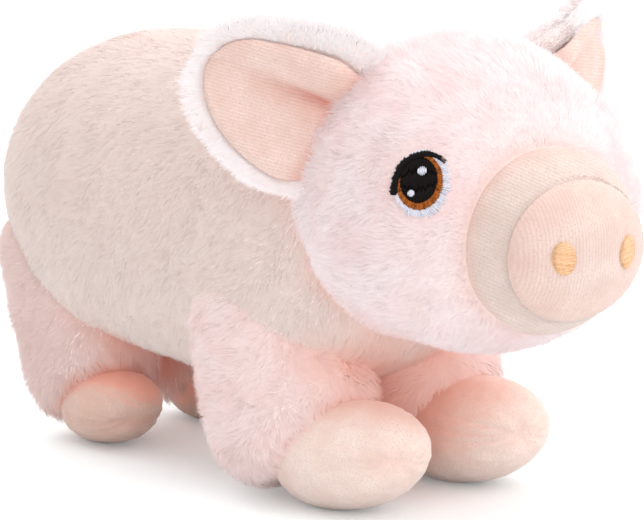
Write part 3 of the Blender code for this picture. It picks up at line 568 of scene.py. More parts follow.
def grow(
    name, material, body, skin, density, seed, length, comb, lean, width,
    keep=None, sink=0.3 * MM, facing=None, slot="fur", blend=None,
):
    """Grows blades over a skin: density is in blades per square millimetre, and length, comb and lean are read
    at each root. Keep says which roots stay. Facing is where a flat piece looks: its front is lit more evenly."""
    rng = np.random.default_rng(seed)
    share = 1.0
    count = int(density * 1e6 * skin.areas.sum() * share)
    chosen = rng.choice(len(skin.areas), count, p=skin.areas / skin.areas.sum())
    a, b = rng.random((2, count))
    over = a + b > 1
    a, b = np.where(over, 1 - a, a), np.where(over, 1 - b, b)
    weights = np.stack([1 - a - b, a, b], 1)[..., None]
    corners = skin.tris[chosen]
    roots = (skin.verts[corners] * weights).sum(1)
    normals = unit((skin.normals[corners] * weights).sum(1))
    uvs = (skin.corners[chosen] * weights).sum(1)
    # Painted shade of the skin under each root, for the strands' Blue channel
    painted_shade = (skin.painted_shade[corners] * weights[..., 0]).sum(1)
    if keep is not None:
        kept = keep(roots, normals)
        roots, normals, uvs, painted_shade = roots[kept], normals[kept], uvs[kept], painted_shade[kept]
    count = len(roots)
    flow = comb(roots, normals)
    flow = unit(flow) + 0.60 * NOISE(roots, LOCKS) + 0.45 * NOISE(roots + 0.5, CURLS)
    flow = flow + rng.normal(0, 0.10, (count, 3))
    along = unit(flow - normals * dots(flow, normals)[:, None])
    first, last = lean(roots)
    swing = 0.15 * NOISE(roots + 0.9, SWINGS)[:, 0] + rng.normal(0, 0.06, count)
    first, last = first + swing, last + swing
    size = length(roots) * (0.78 + 0.42 * rng.random(count))
    if share < 1:
        width = width / math.sqrt(share)

    def heading(angle):
        return normals * np.cos(angle)[:, None] + along * np.sin(angle)[:, None]

    base = roots - normals * sink
    middle = base + heading(first) * (size * 0.5 + sink)[:, None]
    end = middle + heading(last) * (size * 0.5)[:, None]
    shown = normals
    if facing is not None:
        in_front = (normals @ facing)[:, None] > -0.5
        shown = np.where(in_front, normals + facing, normals)
    across = unit(np.cross(heading(last), shown + 0.4 * rng.normal(0, 1, (count, 3))))
    outward = dots(np.cross(across, heading(first) + heading(last)), shown)
    across = across * np.sign(outward)[:, None]
    half = across * (width * 0.5 * (0.75 + 0.5 * rng.random(count)))[:, None]
    verts = np.stack([base - half, base + half, middle - half * 0.8, middle + half * 0.8, end], 1)
    shift, step = np.array([BLADE_UV[0], 0.0]), np.array([0.0, BLADE_UV[1]])
    blade_uvs = np.stack([uvs - shift, uvs + shift, uvs + step - shift, uvs + step + shift, uvs + 2 * step], 1)
    strand = np.zeros((count, 5, 4))
    strand[:, :, 0] = np.array([0.0, 0.0, 0.5, 0.5, 1.0])
    strand[:, :, 1] = rng.random(count)[:, None]
    strand[:, :, 2] = painted_shade[:, None]
    strand[:, :, 3] = 1
    shading = normals + 0.03 * rng.normal(0, 1, (count, 3))
    if facing is not None:
        toward = 0.5 * shading + 0.7 * facing + 0.3 * FRONT_LIGHT
        shading = np.where(in_front, toward, shading - 0.3 * heading(last))
    blade_normals = np.repeat(unit(shading)[:, None], 5, 1)
    pieces = max(1, math.ceil(count / BLADES_A_PIECE))
    for k in range(pieces):
        part = slice(k, None, pieces)
        label = f"{name}_{k + 1}" if pieces > 1 else name
        mesh = ribbon_mesh(label, verts[part], blade_uvs[part], strand[part], blade_normals[part])
        made = show(label, mesh, material, body)
        # Plush glows through: its strands hold back the lamps, but not the light between them
        made.visible_diffuse = False
        if blend is not None:
            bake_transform(made)


def steady(value):
    return lambda points: np.full(len(points), value)


def combed(*way):
    return lambda points, normals: np.tile(np.array(way), (len(points), 1))


def leaning(first, last):
    a, b = math.radians(first), math.radians(last)
    return lambda points: (np.full(len(points), a), np.full(len(points), b))


def stitch_mesh(name, stitches):
    """Raised threads: each has the points of its middle line, its side and up directions and its radius."""
    sides = THREAD_SIDES
    verts, faces, strand = [], [], []
    rng = np.random.default_rng(11)
    for centres, side, up, radius in stitches:
        first = len(verts)
        shade = rng.random()
        last = len(centres) - 1
        for i, centre in enumerate(centres):
            s = i / last
            size = radius * (1 - 0.62 * abs(2 * s - 1) ** 3)
            for k in range(sides):
                angle = math.tau * k / sides
                verts.append(centre + side * (size * math.cos(angle)) + up * (size * math.sin(angle)))
                strand.append((s, shade, 0, 1))
        for i in range(last):
            faces += quads(first + i * sides, first + (i + 1) * sides, sides)
        faces.append(tuple(first + k for k in range(sides))[::-1])
        faces.append(tuple(first + last * sides + k for k in range(sides)))
    mesh = bpy.data.meshes.new(name)
    mesh.from_pydata((array(verts) + SHIFT).tolist(), [], faces)
    give_strand(mesh, array(strand))
    mesh.shade_smooth()
    return mesh


class Patch:
    """A piece of embroidery on a surface, drawn in the plane of its own two directions."""

    def __init__(self, tree, middle, outward, across):
        self.tree = tree
        self.outward = Vector(outward).normalized()
        across = Vector(across)
        self.across = (across - self.outward * across.dot(self.outward)).normalized()
        self.upward = self.outward.cross(self.across)
        if self.upward.z < 0:
            self.upward = -self.upward
        self.middle = Vector(middle)

    def drop(self, x, y, height):
        above = self.middle + self.across * x + self.upward * y + self.outward * 0.01
        hit = self.tree.ray_cast(above, -self.outward)[0]
        return array(hit + self.outward * height)

    def thread(self, a, b, radius, base, steps=4):
        """One stitch from a to b, lying on the surface and arching up between its ends."""
        centres = []
        for i in range(steps + 1):
            s = i / steps
            x, y = a[0] + (b[0] - a[0]) * s, a[1] + (b[1] - a[1]) * s
            centres.append(self.drop(x, y, base + radius * (0.1 + 0.9 * math.sin(math.pi * s) ** 0.5)))
        run = unit(centres[-1] - centres[0])
        side = unit(np.cross(run, array(self.outward)))
        return centres, side, np.cross(side, run), radius

    def plate(self, rows, low, high, centre=None):
        """Rows of points, the outer row first, made into a closed plate between two heights."""
        verts = [self.drop(x, y, h) for h in (low, high) for row in rows for x, y in row]
        faces = []
        count, last = len(rows[0]), len(rows) - 1
        layer = len(rows) * count

        def band(a, b, turned_over):
            faces.extend(face[::-1] if turned_over else face for face in quads(a, b, count))

        for side in range(2):
            for r in range(last):
                a = side * layer + r * count
                band(a, a + count, side == 0)
        if centre:
            for side, h in enumerate((low, high)):
                verts.append(self.drop(*centre, h))
                a = side * layer + last * count
                for k in range(count):
                    face = (a + k, a + (k + 1) % count, len(verts) - 1)
                    faces.append(face if side else face[::-1])
        for r in (0,) if centre else (0, last):
            band(r * count, layer + r * count, r > 0)
        return Skin(verts, faces, [tuple((0.0, 0.0) for _ in f) for f in faces])


def at(shares, x, y, sizes=EYE_SIZES):
    """A place in an oval's own half sizes, where the shares are the oval's middle and half sizes."""
    return (shares[0] + shares[2] * x) * sizes[0], (shares[1] + shares[3] * y) * sizes[1]


def on_oval(shares, angle, scale=1.0, sizes=EYE_SIZES):
    return at(shares, scale * math.cos(angle), scale * math.sin(angle), sizes)


def oval(shares, count, scale=1.0, sizes=EYE_SIZES):
    return [on_oval(shares, math.tau * k / count, scale, sizes) for k in range(count)]


def embroidery(name, side, thread, threads, plate=None):
    """Stitches, and the padding under them, as one piece that stands in for its solid."""
    made = show(f"{name}_thread", stitch_mesh(name, threads), THREADS[thread], None)
    if plate is not None:
        both = [made, skin_object(f"{name}_base", plate, THREADS[thread], None)]
        with bpy.context.temp_override(
            active_object=made, selected_objects=both, selected_editable_objects=both, object=made
        ):
            bpy.ops.object.join()
    made.name = f"{name}_embroidery_{side}"
    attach(made, "toy")
    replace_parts(made, f"{name}_{side}")


def seam_stitches(name, threads):
    made = show(name, stitch_mesh(name, threads), THREADS["pink_thread"], "toy")
    return made


# Directions of the head


def turned(angle, v):
    c, s = math.cos(angle), math.sin(angle)
    return np.array([v[0] * c - v[1] * s, v[0] * s + v[1] * c, v[2]])


HEAD_SIDE = turned(-HEAD_YAW, (1, 0, 0))
HEAD_FORWARD = turned(-HEAD_YAW, (0, -1, 0))
UP = np.array([0.0, 0.0, 1.0])


def head_direction(local, sign):
    return HEAD_SIDE * (local[0] * sign) + HEAD_FORWARD * local[1] + UP * local[2]


def head_point(local, sign):
    return HEAD_CENTRE + head_direction(local, sign)


torso_form = Form(**TORSO)
head_form = Form(HEAD_CENTRE - HEAD_FORWARD * (HEAD_LENGTH / 2), HEAD_FORWARD, (0, 0, 1), **HEAD)
c, s = math.cos(SNOUT_PITCH), math.sin(SNOUT_PITCH)
SNOUT_FORWARD = HEAD_FORWARD * c - UP * s
SNOUT_UP = HEAD_FORWARD * s + UP * c
SNOUT_CENTRE = head_point((0, SNOUT_AHEAD, -SNOUT_DROP), 1)


def leg_parts(spec, sign):
    """The leg's form, the foot's form, and the plane of the seam between them."""
    top = array(spec["top"]) * (sign, 1, 1)
    end = array(spec["end"]) * (sign, 1, 1)
    axis = end - top
    leg = Form(top, axis, (0, -1, 0), (np.linalg.norm(axis), *spec["sizes"]), spec["rows"], LEG_CAPS)
    ahead = turned(spec["splay"] * sign, (0, -1, 0))
    side = turned(spec["splay"] * sign, (1, 0, 0))
    middle = end + ahead * spec["ahead"]
    tilt = Matrix.Rotation(-FOOT_PITCH, 3, Vector(side))
    foot_axis, foot_up = array(tilt @ Vector(ahead)), array(tilt @ Vector((0, 0, 1)))
    foot = Form(-foot_axis * (spec["foot"][0] / 2), foot_axis, foot_up, spec["foot"], FOOT_ROWS, FOOT_CAPS)
    lowest = foot.skin(12, 18).verts[:, 2].min()
    foot.start = foot.start + np.array([middle[0], middle[1], -lowest - FOOT_PRESS])
    point = np.array([middle[0], middle[1], spec["foot"][2]]) - ahead * spec["seam_back"]
    normal = ahead * math.cos(SEAM_TILT) - UP * math.sin(SEAM_TILT)
    return leg, foot, point, normal, ahead, side, middle


LIMBS = {
    (name, side): leg_parts(spec, sign)
    for name, spec in (("front", FRONT_LEG), ("hind", HIND_LEG))
    for side, sign in SIDES
}


def all_forms_tree():
    verts, tris, count = [], [], 0
    forms = [torso_form, head_form] + [part for limb in LIMBS.values() for part in limb[:2]]
    for form in forms:
        skin = form.skin(20, 32)
        verts.append(skin.verts)
        tris.append(skin.tris + count)
        count += len(skin.verts)
    return BVHTree.FromPolygons([Vector(v) for v in np.concatenate(verts)], np.concatenate(tris).tolist())


FORMS_TREE = all_forms_tree()
RAYS = 18
REACH_OF_SHADE = 0.045


def shade_between_forms(skin, lift=0.0030):
    """Paints shade: reads how closely the other forms shut in each point of a skin, 0 in the open, towards 1 between
    two forms.
    """
    k = np.arange(RAYS) + 0.5
    rise = np.sqrt(1 - k / RAYS)
    turn = k * math.pi * (3 - math.sqrt(5))
    spread = np.sqrt(1 - rise**2)
    for i, (point, normal) in enumerate(zip(skin.verts, skin.normals)):
        u = unit(np.cross(normal, (0.3, 0.9, 0.2)))
        v = np.cross(normal, u)
        start = Vector(point + normal * lift)
        rays = (
            normal * rise[:, None] + u * (spread * np.cos(turn))[:, None] + v * (spread * np.sin(turn))[:, None]
        )
        total = 0.0
        for ray in rays:
            distance = FORMS_TREE.ray_cast(start, Vector(ray), REACH_OF_SHADE)[3]
            if distance is not None:
                total += 1 - distance / REACH_OF_SHADE
        skin.painted_shade[i] = total / RAYS
    skin.painted_shade = np.clip((skin.painted_shade - 0.06) / 0.50, 0, 1)
    return skin


# Materials of the pieces

head_fur = fur_material("head_fur", (0.95, 0.74, 0.74), (0.975, 0.85, 0.86), (0.945, 0.72, 0.725))
# The torso fur is darker than the head's: the flank's shade painted into its colours
torso_fur = fur_material("torso_fur", (0.81, 0.64, 0.58), (0.83, 0.705, 0.66), (0.82, 0.68, 0.635))
# Each leg fur's last colour is its painted shade colour; the hind leg fur is a darker copy of the front's, with its
# shade painted in
leg_furs = {
    "front": fur_material(
        "leg_fur", (0.93, 0.68, 0.65), (0.97, 0.80, 0.785), (0.93, 0.67, 0.64), (0.95, 0.58, 0.50)
    ),
    "hind": fur_material(
        "hind_leg_fur_shaded", (0.81, 0.57, 0.525), (0.83, 0.635, 0.60), (0.815, 0.59, 0.55), (0.88, 0.46, 0.38)
    ),
}
ear_fur = fur_material("ear_fur", (0.98, 0.885, 0.89), (0.985, 0.925, 0.94), (0.98, 0.905, 0.92))
backing = skin_material("backing", (0.95, 0.76, 0.72), (0.96, 0.82, 0.79))
foot_velours = {
    "front": velour_material("velour_foot", (0.86, 0.67, 0.60), (0.92, 0.77, 0.71)),
    # The hind feet's velour is the front's made darker: painted shade under the body
    "hind": velour_material("velour_hind_foot_shaded", (0.67, 0.50, 0.43), (0.72, 0.57, 0.505)),
}
velour_band = velour_material(
    "velour_band", (0.71, 0.56, 0.505), (0.80, 0.66, 0.605), SNOUT_UP + HEAD_SIDE * 0.5, 0.14
)
velour_disc = velour_material("velour_disc", (0.75, 0.57, 0.515), (0.82, 0.665, 0.61), HEAD_SIDE, 0.16)
# The ear's velour turns to a deep red painted shade in its fold and pocket
velour_ear = velour_material(
    "velour_ear", (0.81, 0.58, 0.515), (0.88, 0.685, 0.63), (0.19, -0.17, 0.97), 0.22, painted_shade_colour=(0.74, 0.27, 0.20)
)
tail_fuzz = fur_material("foot_fuzz", (0.87, 0.70, 0.63), (0.91, 0.77, 0.71), (0.88, 0.72, 0.66))
snout_fuzz = fur_material("snout_fuzz", (0.75, 0.60, 0.55), (0.81, 0.67, 0.62), (0.77, 0.62, 0.57))
THREAD_LOOKS = (
    ("white_thread", (0.47, 0.46, 0.56), (0.78, 0.77, 0.85), 0.4, 0.2, 0.15),
    ("black_thread", (0.004, 0.003, 0.003), (0.009, 0.006, 0.006), 0.5, 0.0, 0.08),
    ("brown_thread", (0.09, 0.014, 0.004), (0.46, 0.13, 0.02), 0.4, 0.0, 0.10),
    ("tan_thread", (0.74, 0.37, 0.17), (0.90, 0.60, 0.37), 0.4, 0.2, 0.15),
    ("pink_thread", (0.74, 0.42, 0.37), (0.88, 0.57, 0.51), 0.6, 0.2, 0.3),
)
THREADS = {look[0]: thread_material(*look) for look in THREAD_LOOKS}


def uneven(skin, amount, scale, seed=0.0):
    """Soft dents and swells of a stuffed cover."""
    return skin.push(amount * NOISE(skin.verts + seed, scale)[:, 0])


# Torso

# Painted shade on the torso where the legs and head close in
torso_skin = shade_between_forms(uneven(torso_form.skin(64, 96, -UNDER_FUR), 0.0009, 0.020))
cover("torso_cover", torso_skin, backing, "toy", "fur", 0.85, "torso", "torso_stuffing")


def outside_head(points, normals):
    return ~head_form.holds(points, BY_SEAM)


grow(
    "torso_fur", torso_fur, "toy", torso_skin, density=10.0, seed=21, length=steady(3.7 * MM),
    comb=combed(0.0, 0.55, -0.8), lean=leaning(40, 76), width=0.15 * MM, keep=outside_head,
)

# Head

head_skin = shade_between_forms(uneven(head_form.skin(56, 88, -UNDER_FUR), 0.0007, 0.016, 3.0))
head_tree = head_form.skin(56, 88).tree()
eye_places = {-1: head_point(EYE_PLACE, -1), 1: head_point(array(EYE_PLACE) - (0, FAR_EYE_BACK, 0), 1)}


def eye_axes(sign):
    outward = unit(head_direction(EYE_GAZE, sign))
    across = HEAD_SIDE * sign
    across = unit(across - outward * np.dot(across, outward))
    upward = np.cross(outward, across)
    return outward, across, upward if upward[2] > 0 else -upward


def eye_distance(points, sign):
    """How far each point lies from an eye's middle, in the eye's half sizes."""
    outward, across, upward = eye_axes(sign)
    local = points - eye_places[sign]
    x = (local @ across / EYE_SIZES[0] - WHITE[0]) / WHITE[2]
    y = (local @ upward / EYE_SIZES[1] - WHITE[1]) / WHITE[3]
    far = np.abs(local @ outward) > 0.02
    return np.where(far, 9.0, np.hypot(x, y))


def snout_distance(points):
    """How far each point lies from the snout's axis, in the base's half sizes."""
    local = points - SNOUT_CENTRE
    near = local @ SNOUT_FORWARD > -0.03
    distance = np.hypot(local @ HEAD_SIDE / SNOUT_BASE[0], local @ SNOUT_UP / SNOUT_BASE[1])
    return np.where(near, distance, 9.0)


# Painted shade on the head: where forms close in, in a ring round the snout's foot and round each eye
shade_around_snout = 0.20 * bell(snout_distance(head_skin.verts), 1.0, 0.10)
shade_around_eyes = sum(0.14 * bell(eye_distance(head_skin.verts, sign), 1.1, 0.20) for sign in (-1, 1))
head_skin.painted_shade = np.clip(head_skin.painted_shade + shade_around_snout + shade_around_eyes, 0, 1)
cover("head_cover", head_skin, backing, "toy", "fur", 0.85, "head", "head_stuffing")


def head_roots(points, normals):
    near, far = eye_distance(points, -1), eye_distance(points, 1)
    kept = (near > BARE_EYE) & (far > BARE_EYE) & (snout_distance(points) > 1.0)
    return kept & ~torso_form.holds(points, BY_SEAM)


def head_comb(points, normals):
    local = points - SNOUT_CENTRE
    radial = local - np.outer(local @ SNOUT_FORWARD, SNOUT_FORWARD)
    return unit(radial) * 0.6 - SNOUT_FORWARD * 0.8 - UP * 0.35


def near_ears(points):
    """1 at the foot of an ear, falling to 0 some way off."""
    nearest = np.full(len(points), 1.0)
    for sign in (-1, 1):
        top, foot = head_point(EAR_BASE_TOP, sign), head_point(EAR_BASE_FOOT, sign)
        run = foot - top
        share = np.clip((points - top) @ run / np.dot(run, run), 0, 1)
        nearest = np.minimum(nearest, np.linalg.norm(points - top - share[:, None] * run, axis=1))
    return np.clip((0.0095 - nearest) / 0.006, 0, 1)


def head_length(points):
    near_snout = 0.25 + 0.75 * climb(snout_distance(points), 1.0, 0.7)
    near_eye = climb(eye_distance(points, -1), 0.95, 0.8)
    near_far_eye = np.clip((eye_distance(points, 1) - 0.95) / 0.2 + 0.9, 0, 1)
    least = np.minimum(np.minimum(near_snout, near_eye), near_far_eye)
    return MM * (1.5 + 2.7 * least + 2.0 * near_ears(points))


def head_lean(points):
    near_eye = climb(eye_distance(points, -1), 0.95, 0.6)
    by_far_eye = np.clip((2.0 - eye_distance(points, 1)) / 0.6, 0, 1)
    first = 50 - 14 * near_eye - 16 * by_far_eye
    last = 82 - 10 * near_eye - 24 * by_far_eye - 8 * near_ears(points)
    return np.radians(first), np.radians(last)


grow(
    "head_fur", head_fur, "toy", head_skin, density=10.0, seed=22, length=head_length, comb=head_comb,
    lean=head_lean, width=0.14 * MM, keep=head_roots,
)


def before_far_eye(points, normals):
    distance = eye_distance(points, 1)
    ahead = (points - eye_places[1]) @ SNOUT_FORWARD > -0.001
    return (distance > BARE_EYE) & (distance < 1.7) & ahead & (snout_distance(points) > 1.0)


grow(
    "brow_fur_left", head_fur, "toy", head_skin, density=22.0, seed=24, length=steady(4.4 * MM), comb=head_comb,
    lean=leaning(32, 54), width=0.14 * MM, keep=before_far_eye,
)

# Snout

ROOT = -SNOUT_ROOT_DEPTH


def snout_ring(along, sizes, scale=1.0):
    centre = SNOUT_CENTRE + SNOUT_FORWARD * along
    return oval_ring(centre, HEAD_SIDE, SNOUT_UP, sizes[0] * scale, sizes[1] * scale, SNOUT_AROUND)


def snout_tube(rings, low, high):
    """A skin over the snout's rings, with its tips at two places along the snout's axis."""
    return tube(rings, [SNOUT_CENTRE + SNOUT_FORWARD * low, SNOUT_CENTRE + SNOUT_FORWARD * high])


rings = [snout_ring(ROOT, SNOUT_BASE, 0.96)]
for i in range(33):
    along = SNOUT_BAND_LENGTH - (SNOUT_BAND_LENGTH + BAND_SWELL_START) * (1 - i / 32)
    s = max(0.0, along / SNOUT_BAND_LENGTH)
    swell = 1 + smooth_row(BAND_ROWS, i / 32)[0][0]
    turn = 1 - 0.012 * max(0.0, (s - 0.90) / 0.10) ** 2
    half = [(a + (b - a) * s) * swell * turn for a, b in zip(SNOUT_BASE, SNOUT_RIM)]
    rings.append(snout_ring(along, half))
rings.append(snout_ring(SNOUT_BAND_LENGTH - 0.0002, SNOUT_RIM, 0.90))
band_skin = snout_tube(rings, ROOT, SNOUT_BAND_LENGTH - 0.0004)
along = (band_skin.verts - SNOUT_CENTRE) @ SNOUT_FORWARD
# Painted shade on the band, strongest where it goes into the head
band_skin.painted_shade = 0.25 * (1 - climb(along, -0.003, 0.006))
cover("snout_band_cover", band_skin, velour_band, "toy", "velour", 0.85, "snout_band", "snout_stuffing")

rings = []
DOME_START = SNOUT_BAND_LENGTH + 0.0001
for i in range(4, 44):
    s = (i / 44) ** 0.9
    rise, radius = smooth_row(DOME_ROWS, s)[0]
    rings.append(snout_ring(DOME_START + SNOUT_DOME_HEIGHT * rise, SNOUT_RIM, radius))
for rise, radius in ((0.0005, 1.018), (0.0002, 1.030), (-0.0001, 1.036), (-0.0004, 1.0), (-0.0005, 0.90)):
    rings.insert(0, snout_ring(DOME_START + rise, SNOUT_RIM, radius))
disc_skin = snout_tube(rings, DOME_START - 0.0004, DOME_START + SNOUT_DOME_HEIGHT)
local = disc_skin.verts - SNOUT_CENTRE
angle = np.arctan2(local @ SNOUT_UP / SNOUT_RIM[1], local @ HEAD_SIDE / SNOUT_RIM[0])
edge = np.hypot(local @ HEAD_SIDE / SNOUT_RIM[0], local @ SNOUT_UP / SNOUT_RIM[1])
gathers = np.sin(angle * GATHERS_AROUND + 3 * np.sin(angle * 3)) * climb(edge, 0.78, 0.2) ** 2
disc_skin.push(-GATHER_DEPTH * np.clip(gathers, -0.2, 1))
# Painted shade growing towards the disc's rim
disc_skin.painted_shade = 0.15 * climb(edge, 0.35, 0.5)
disc_tree = disc_skin.tree()
nostril_places = {}
for sign in (-1, 1):
    place = SNOUT_CENTRE + SNOUT_FORWARD * 0.03 + HEAD_SIDE * (sign * NOSTRIL_APART / 2) + SNOUT_UP * NOSTRIL_RISE
    hit = disc_tree.ray_cast(Vector(place), -Vector(SNOUT_FORWARD))[0]
    nostril_places[sign] = array(hit)
dents = sum(np.exp(-((disc_skin.verts - p) ** 2).sum(1) / (2 * DENT_WIDTH**2)) for p in nostril_places.values())
disc_skin.push(-DENT_DEPTH * dents)
disc_tree = disc_skin.tree()
cover("snout_disc_cover", disc_skin, velour_disc, "toy", "velour", 0.85, "snout_disc")


def near_seam(points, normals):
    return np.abs((points - SNOUT_CENTRE) @ SNOUT_FORWARD - SNOUT_BAND_LENGTH) < 0.0013


def from_snout_axis(points, normals):
    local = points - SNOUT_CENTRE
    return unit(local - np.outer(local @ SNOUT_FORWARD, SNOUT_FORWARD)) + SNOUT_FORWARD * 0.9


grow(
    "snout_fringe", snout_fuzz, "toy", band_skin, density=18.0, seed=33, length=steady(0.65 * MM),
    comb=from_snout_axis, lean=leaning(30, 55), width=0.08 * MM, keep=near_seam, sink=0.1 * MM, slot="velour",
)

# Stitches of the seams

threads = []
rng = np.random.default_rng(8)
depths = np.linspace(0.004, ROOT, 49)
for sizes, count in ((SNOUT_RIM, 72), (SNOUT_BASE, 84)):
    reach = 0.00045 if sizes is SNOUT_BASE else 0.00062
    for k in range(count):
        angle = math.tau * (k + 0.5 * rng.random()) / count
        way = HEAD_SIDE * math.cos(angle) + SNOUT_UP * math.sin(angle)
        edge = SNOUT_CENTRE + HEAD_SIDE * (sizes[0] * math.cos(angle)) + SNOUT_UP * (sizes[1] * math.sin(angle))
        along = SNOUT_BAND_LENGTH
        if sizes is SNOUT_BASE:
            inside = head_form.holds(edge + np.outer(depths, SNOUT_FORWARD), 0.0)
            along = depths[np.argmax(inside)] + 0.0007
        start = edge + SNOUT_FORWARD * (along - reach) + way * 0.00002
        run = SNOUT_FORWARD * 0.0008 + np.cross(SNOUT_FORWARD, way) * 0.0003
        centres = [start + run * s for s in np.linspace(0, 1, 5)]
        threads.append((centres, unit(np.cross(run, way)), way, FINE_THREAD))
seam_stitches("snout_seam_stitches", threads)

torso_tree = torso_skin.tree()
threads = []
for k in range(CLOSING_STITCHES):
    y = TORSO_CHEST_Y + CLOSING_BACK + CLOSING_LENGTH * (k + 0.5) / CLOSING_STITCHES
    low = array(torso_tree.ray_cast(Vector((0, y, 0)), Vector((0, 0, 1)))[0])
    across = np.linspace(-CLOSING_REACH, CLOSING_REACH, 5)
    centres = [low + np.array([x, CLOSING_SLANT * x / CLOSING_REACH, -0.0001]) for x in across]
    threads.append((centres, np.array([0.0, 1.0, 0.0]), np.array([0.0, 0.0, -1.0]), CLOSING_THREAD))
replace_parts(seam_stitches("closing_seam_stitches", threads), "closing_seam")

# Nostrils, satin stitched

FULL = (0, 0, 1, 1)
NOSTRIL_ROWS = 22
NOSTRIL_SLANT = 0.10
NOSTRIL_WIDER = 1.04

for side, sign in SIDES:
    patch = Patch(disc_tree, nostril_places[sign], SNOUT_FORWARD, HEAD_SIDE * sign)
    outlines = [oval(FULL, 24, scale, NOSTRIL_SIZES) for scale in (1.0, 0.5)]
    plate = patch.plate(outlines, -0.0004, 0.00015, (0, 0))
    threads = []
    for k in range(NOSTRIL_ROWS):
        y = -1 + 2 * (k + 0.5) / NOSTRIL_ROWS
        x = math.sqrt(1 - y * y)
        a = at(FULL, -x * NOSTRIL_WIDER, y - NOSTRIL_SLANT * x, NOSTRIL_SIZES)
        b = at(FULL, x * NOSTRIL_WIDER, y + NOSTRIL_SLANT * x, NOSTRIL_SIZES)
        threads.append(patch.thread(a, b, NOSTRIL_THREAD, 0.0002, 6))
    embroidery("nostril", side, "tan_thread", threads, plate)

# Eyes, satin stitched, from the white outwards to the glints

LID_LEAN = math.radians(112)
LID_STITCHES = 60
PUPIL_COLUMNS = 26
RING_HEIGHT, PUPIL_HEIGHT, LID_HEIGHT, GLINT_HEIGHT = 0.00035, 0.00045, 0.00060, 0.00075
rng = np.random.default_rng(5)
for side, sign in SIDES:
    patch = Patch(head_tree, eye_places[sign], head_direction(EYE_GAZE, sign), HEAD_SIDE * sign)
    for name, thread, outer, inner, count, start, least, hidden in (
        ("eye_white", "white_thread", WHITE, IRIS, 104, 0.97, 0.97, 0.10),
        ("iris", "brown_thread", IRIS, PUPIL, 92, 0.96, 0.98, 0.0),
    ):
        plate = patch.plate([oval(outer, 48), oval(inner, 48, 0.9)], 0.0, 0.00030)
        threads = []
        for k in range(count):
            angle = math.tau * (k + 0.3 * rng.random()) / count
            under_lid = max(0.0, math.cos(angle - LID_LEAN)) ** 2
            out = least + 0.10 * rng.random() - hidden * under_lid
            a, b = on_oval(inner, angle, start), on_oval(outer, angle, out)
            threads.append(patch.thread(a, b, THREAD, RING_HEIGHT))
        embroidery(name, side, thread, threads, plate)

    plate = patch.plate([oval(PUPIL, 40, scale) for scale in (1.0, 0.5)], 0.0, 0.00040, at(PUPIL, 0, 0))
    threads = []
    for k in range(PUPIL_COLUMNS):
        x = -1 + 2 * (k + 0.5) / PUPIL_COLUMNS
        y = math.sqrt(1 - x * x)
        breaks = [-y, -y * (0.30 + 0.2 * rng.random()), y * (0.30 + 0.2 * rng.random()), y]
        for low, high in zip(breaks, breaks[1:]):
            a, b = at(PUPIL, x * 1.03, low * 1.03), at(PUPIL, x * 1.03, high * 1.03)
            threads.append(patch.thread(a, b, THREAD, PUPIL_HEIGHT))
    embroidery("pupil", side, "black_thread", threads, plate)

    threads = []
    for k in range(LID_STITCHES):
        inner_x, inner_y, outer_x, outer_y = smooth_row(LID_ROWS, (k + 0.5) / LID_STITCHES)[0]
        longer = 0.98 + 0.26 * rng.random() ** 1.5
        a = at(FULL, inner_x, inner_y)
        b = at(FULL, inner_x + (outer_x - inner_x) * longer, inner_y + (outer_y - inner_y) * longer)
        threads.append(patch.thread(a, b, THREAD * 1.15, LID_HEIGHT))
    embroidery("eyelid", side, "black_thread", threads)

    for name, shares in GLINTS:
        threads = []
        for x in (-0.8, -0.4, 0.0, 0.4, 0.8):
            y = math.sqrt(1 - x * x)
            threads.append(patch.thread(at(shares, x, -y), at(shares, x, y), THREAD, GLINT_HEIGHT))
        embroidery(name, side, "white_thread", threads)

# Ears

ear_base_tree = head_form.skin(16, 28, EAR_CLEARANCE).tree()


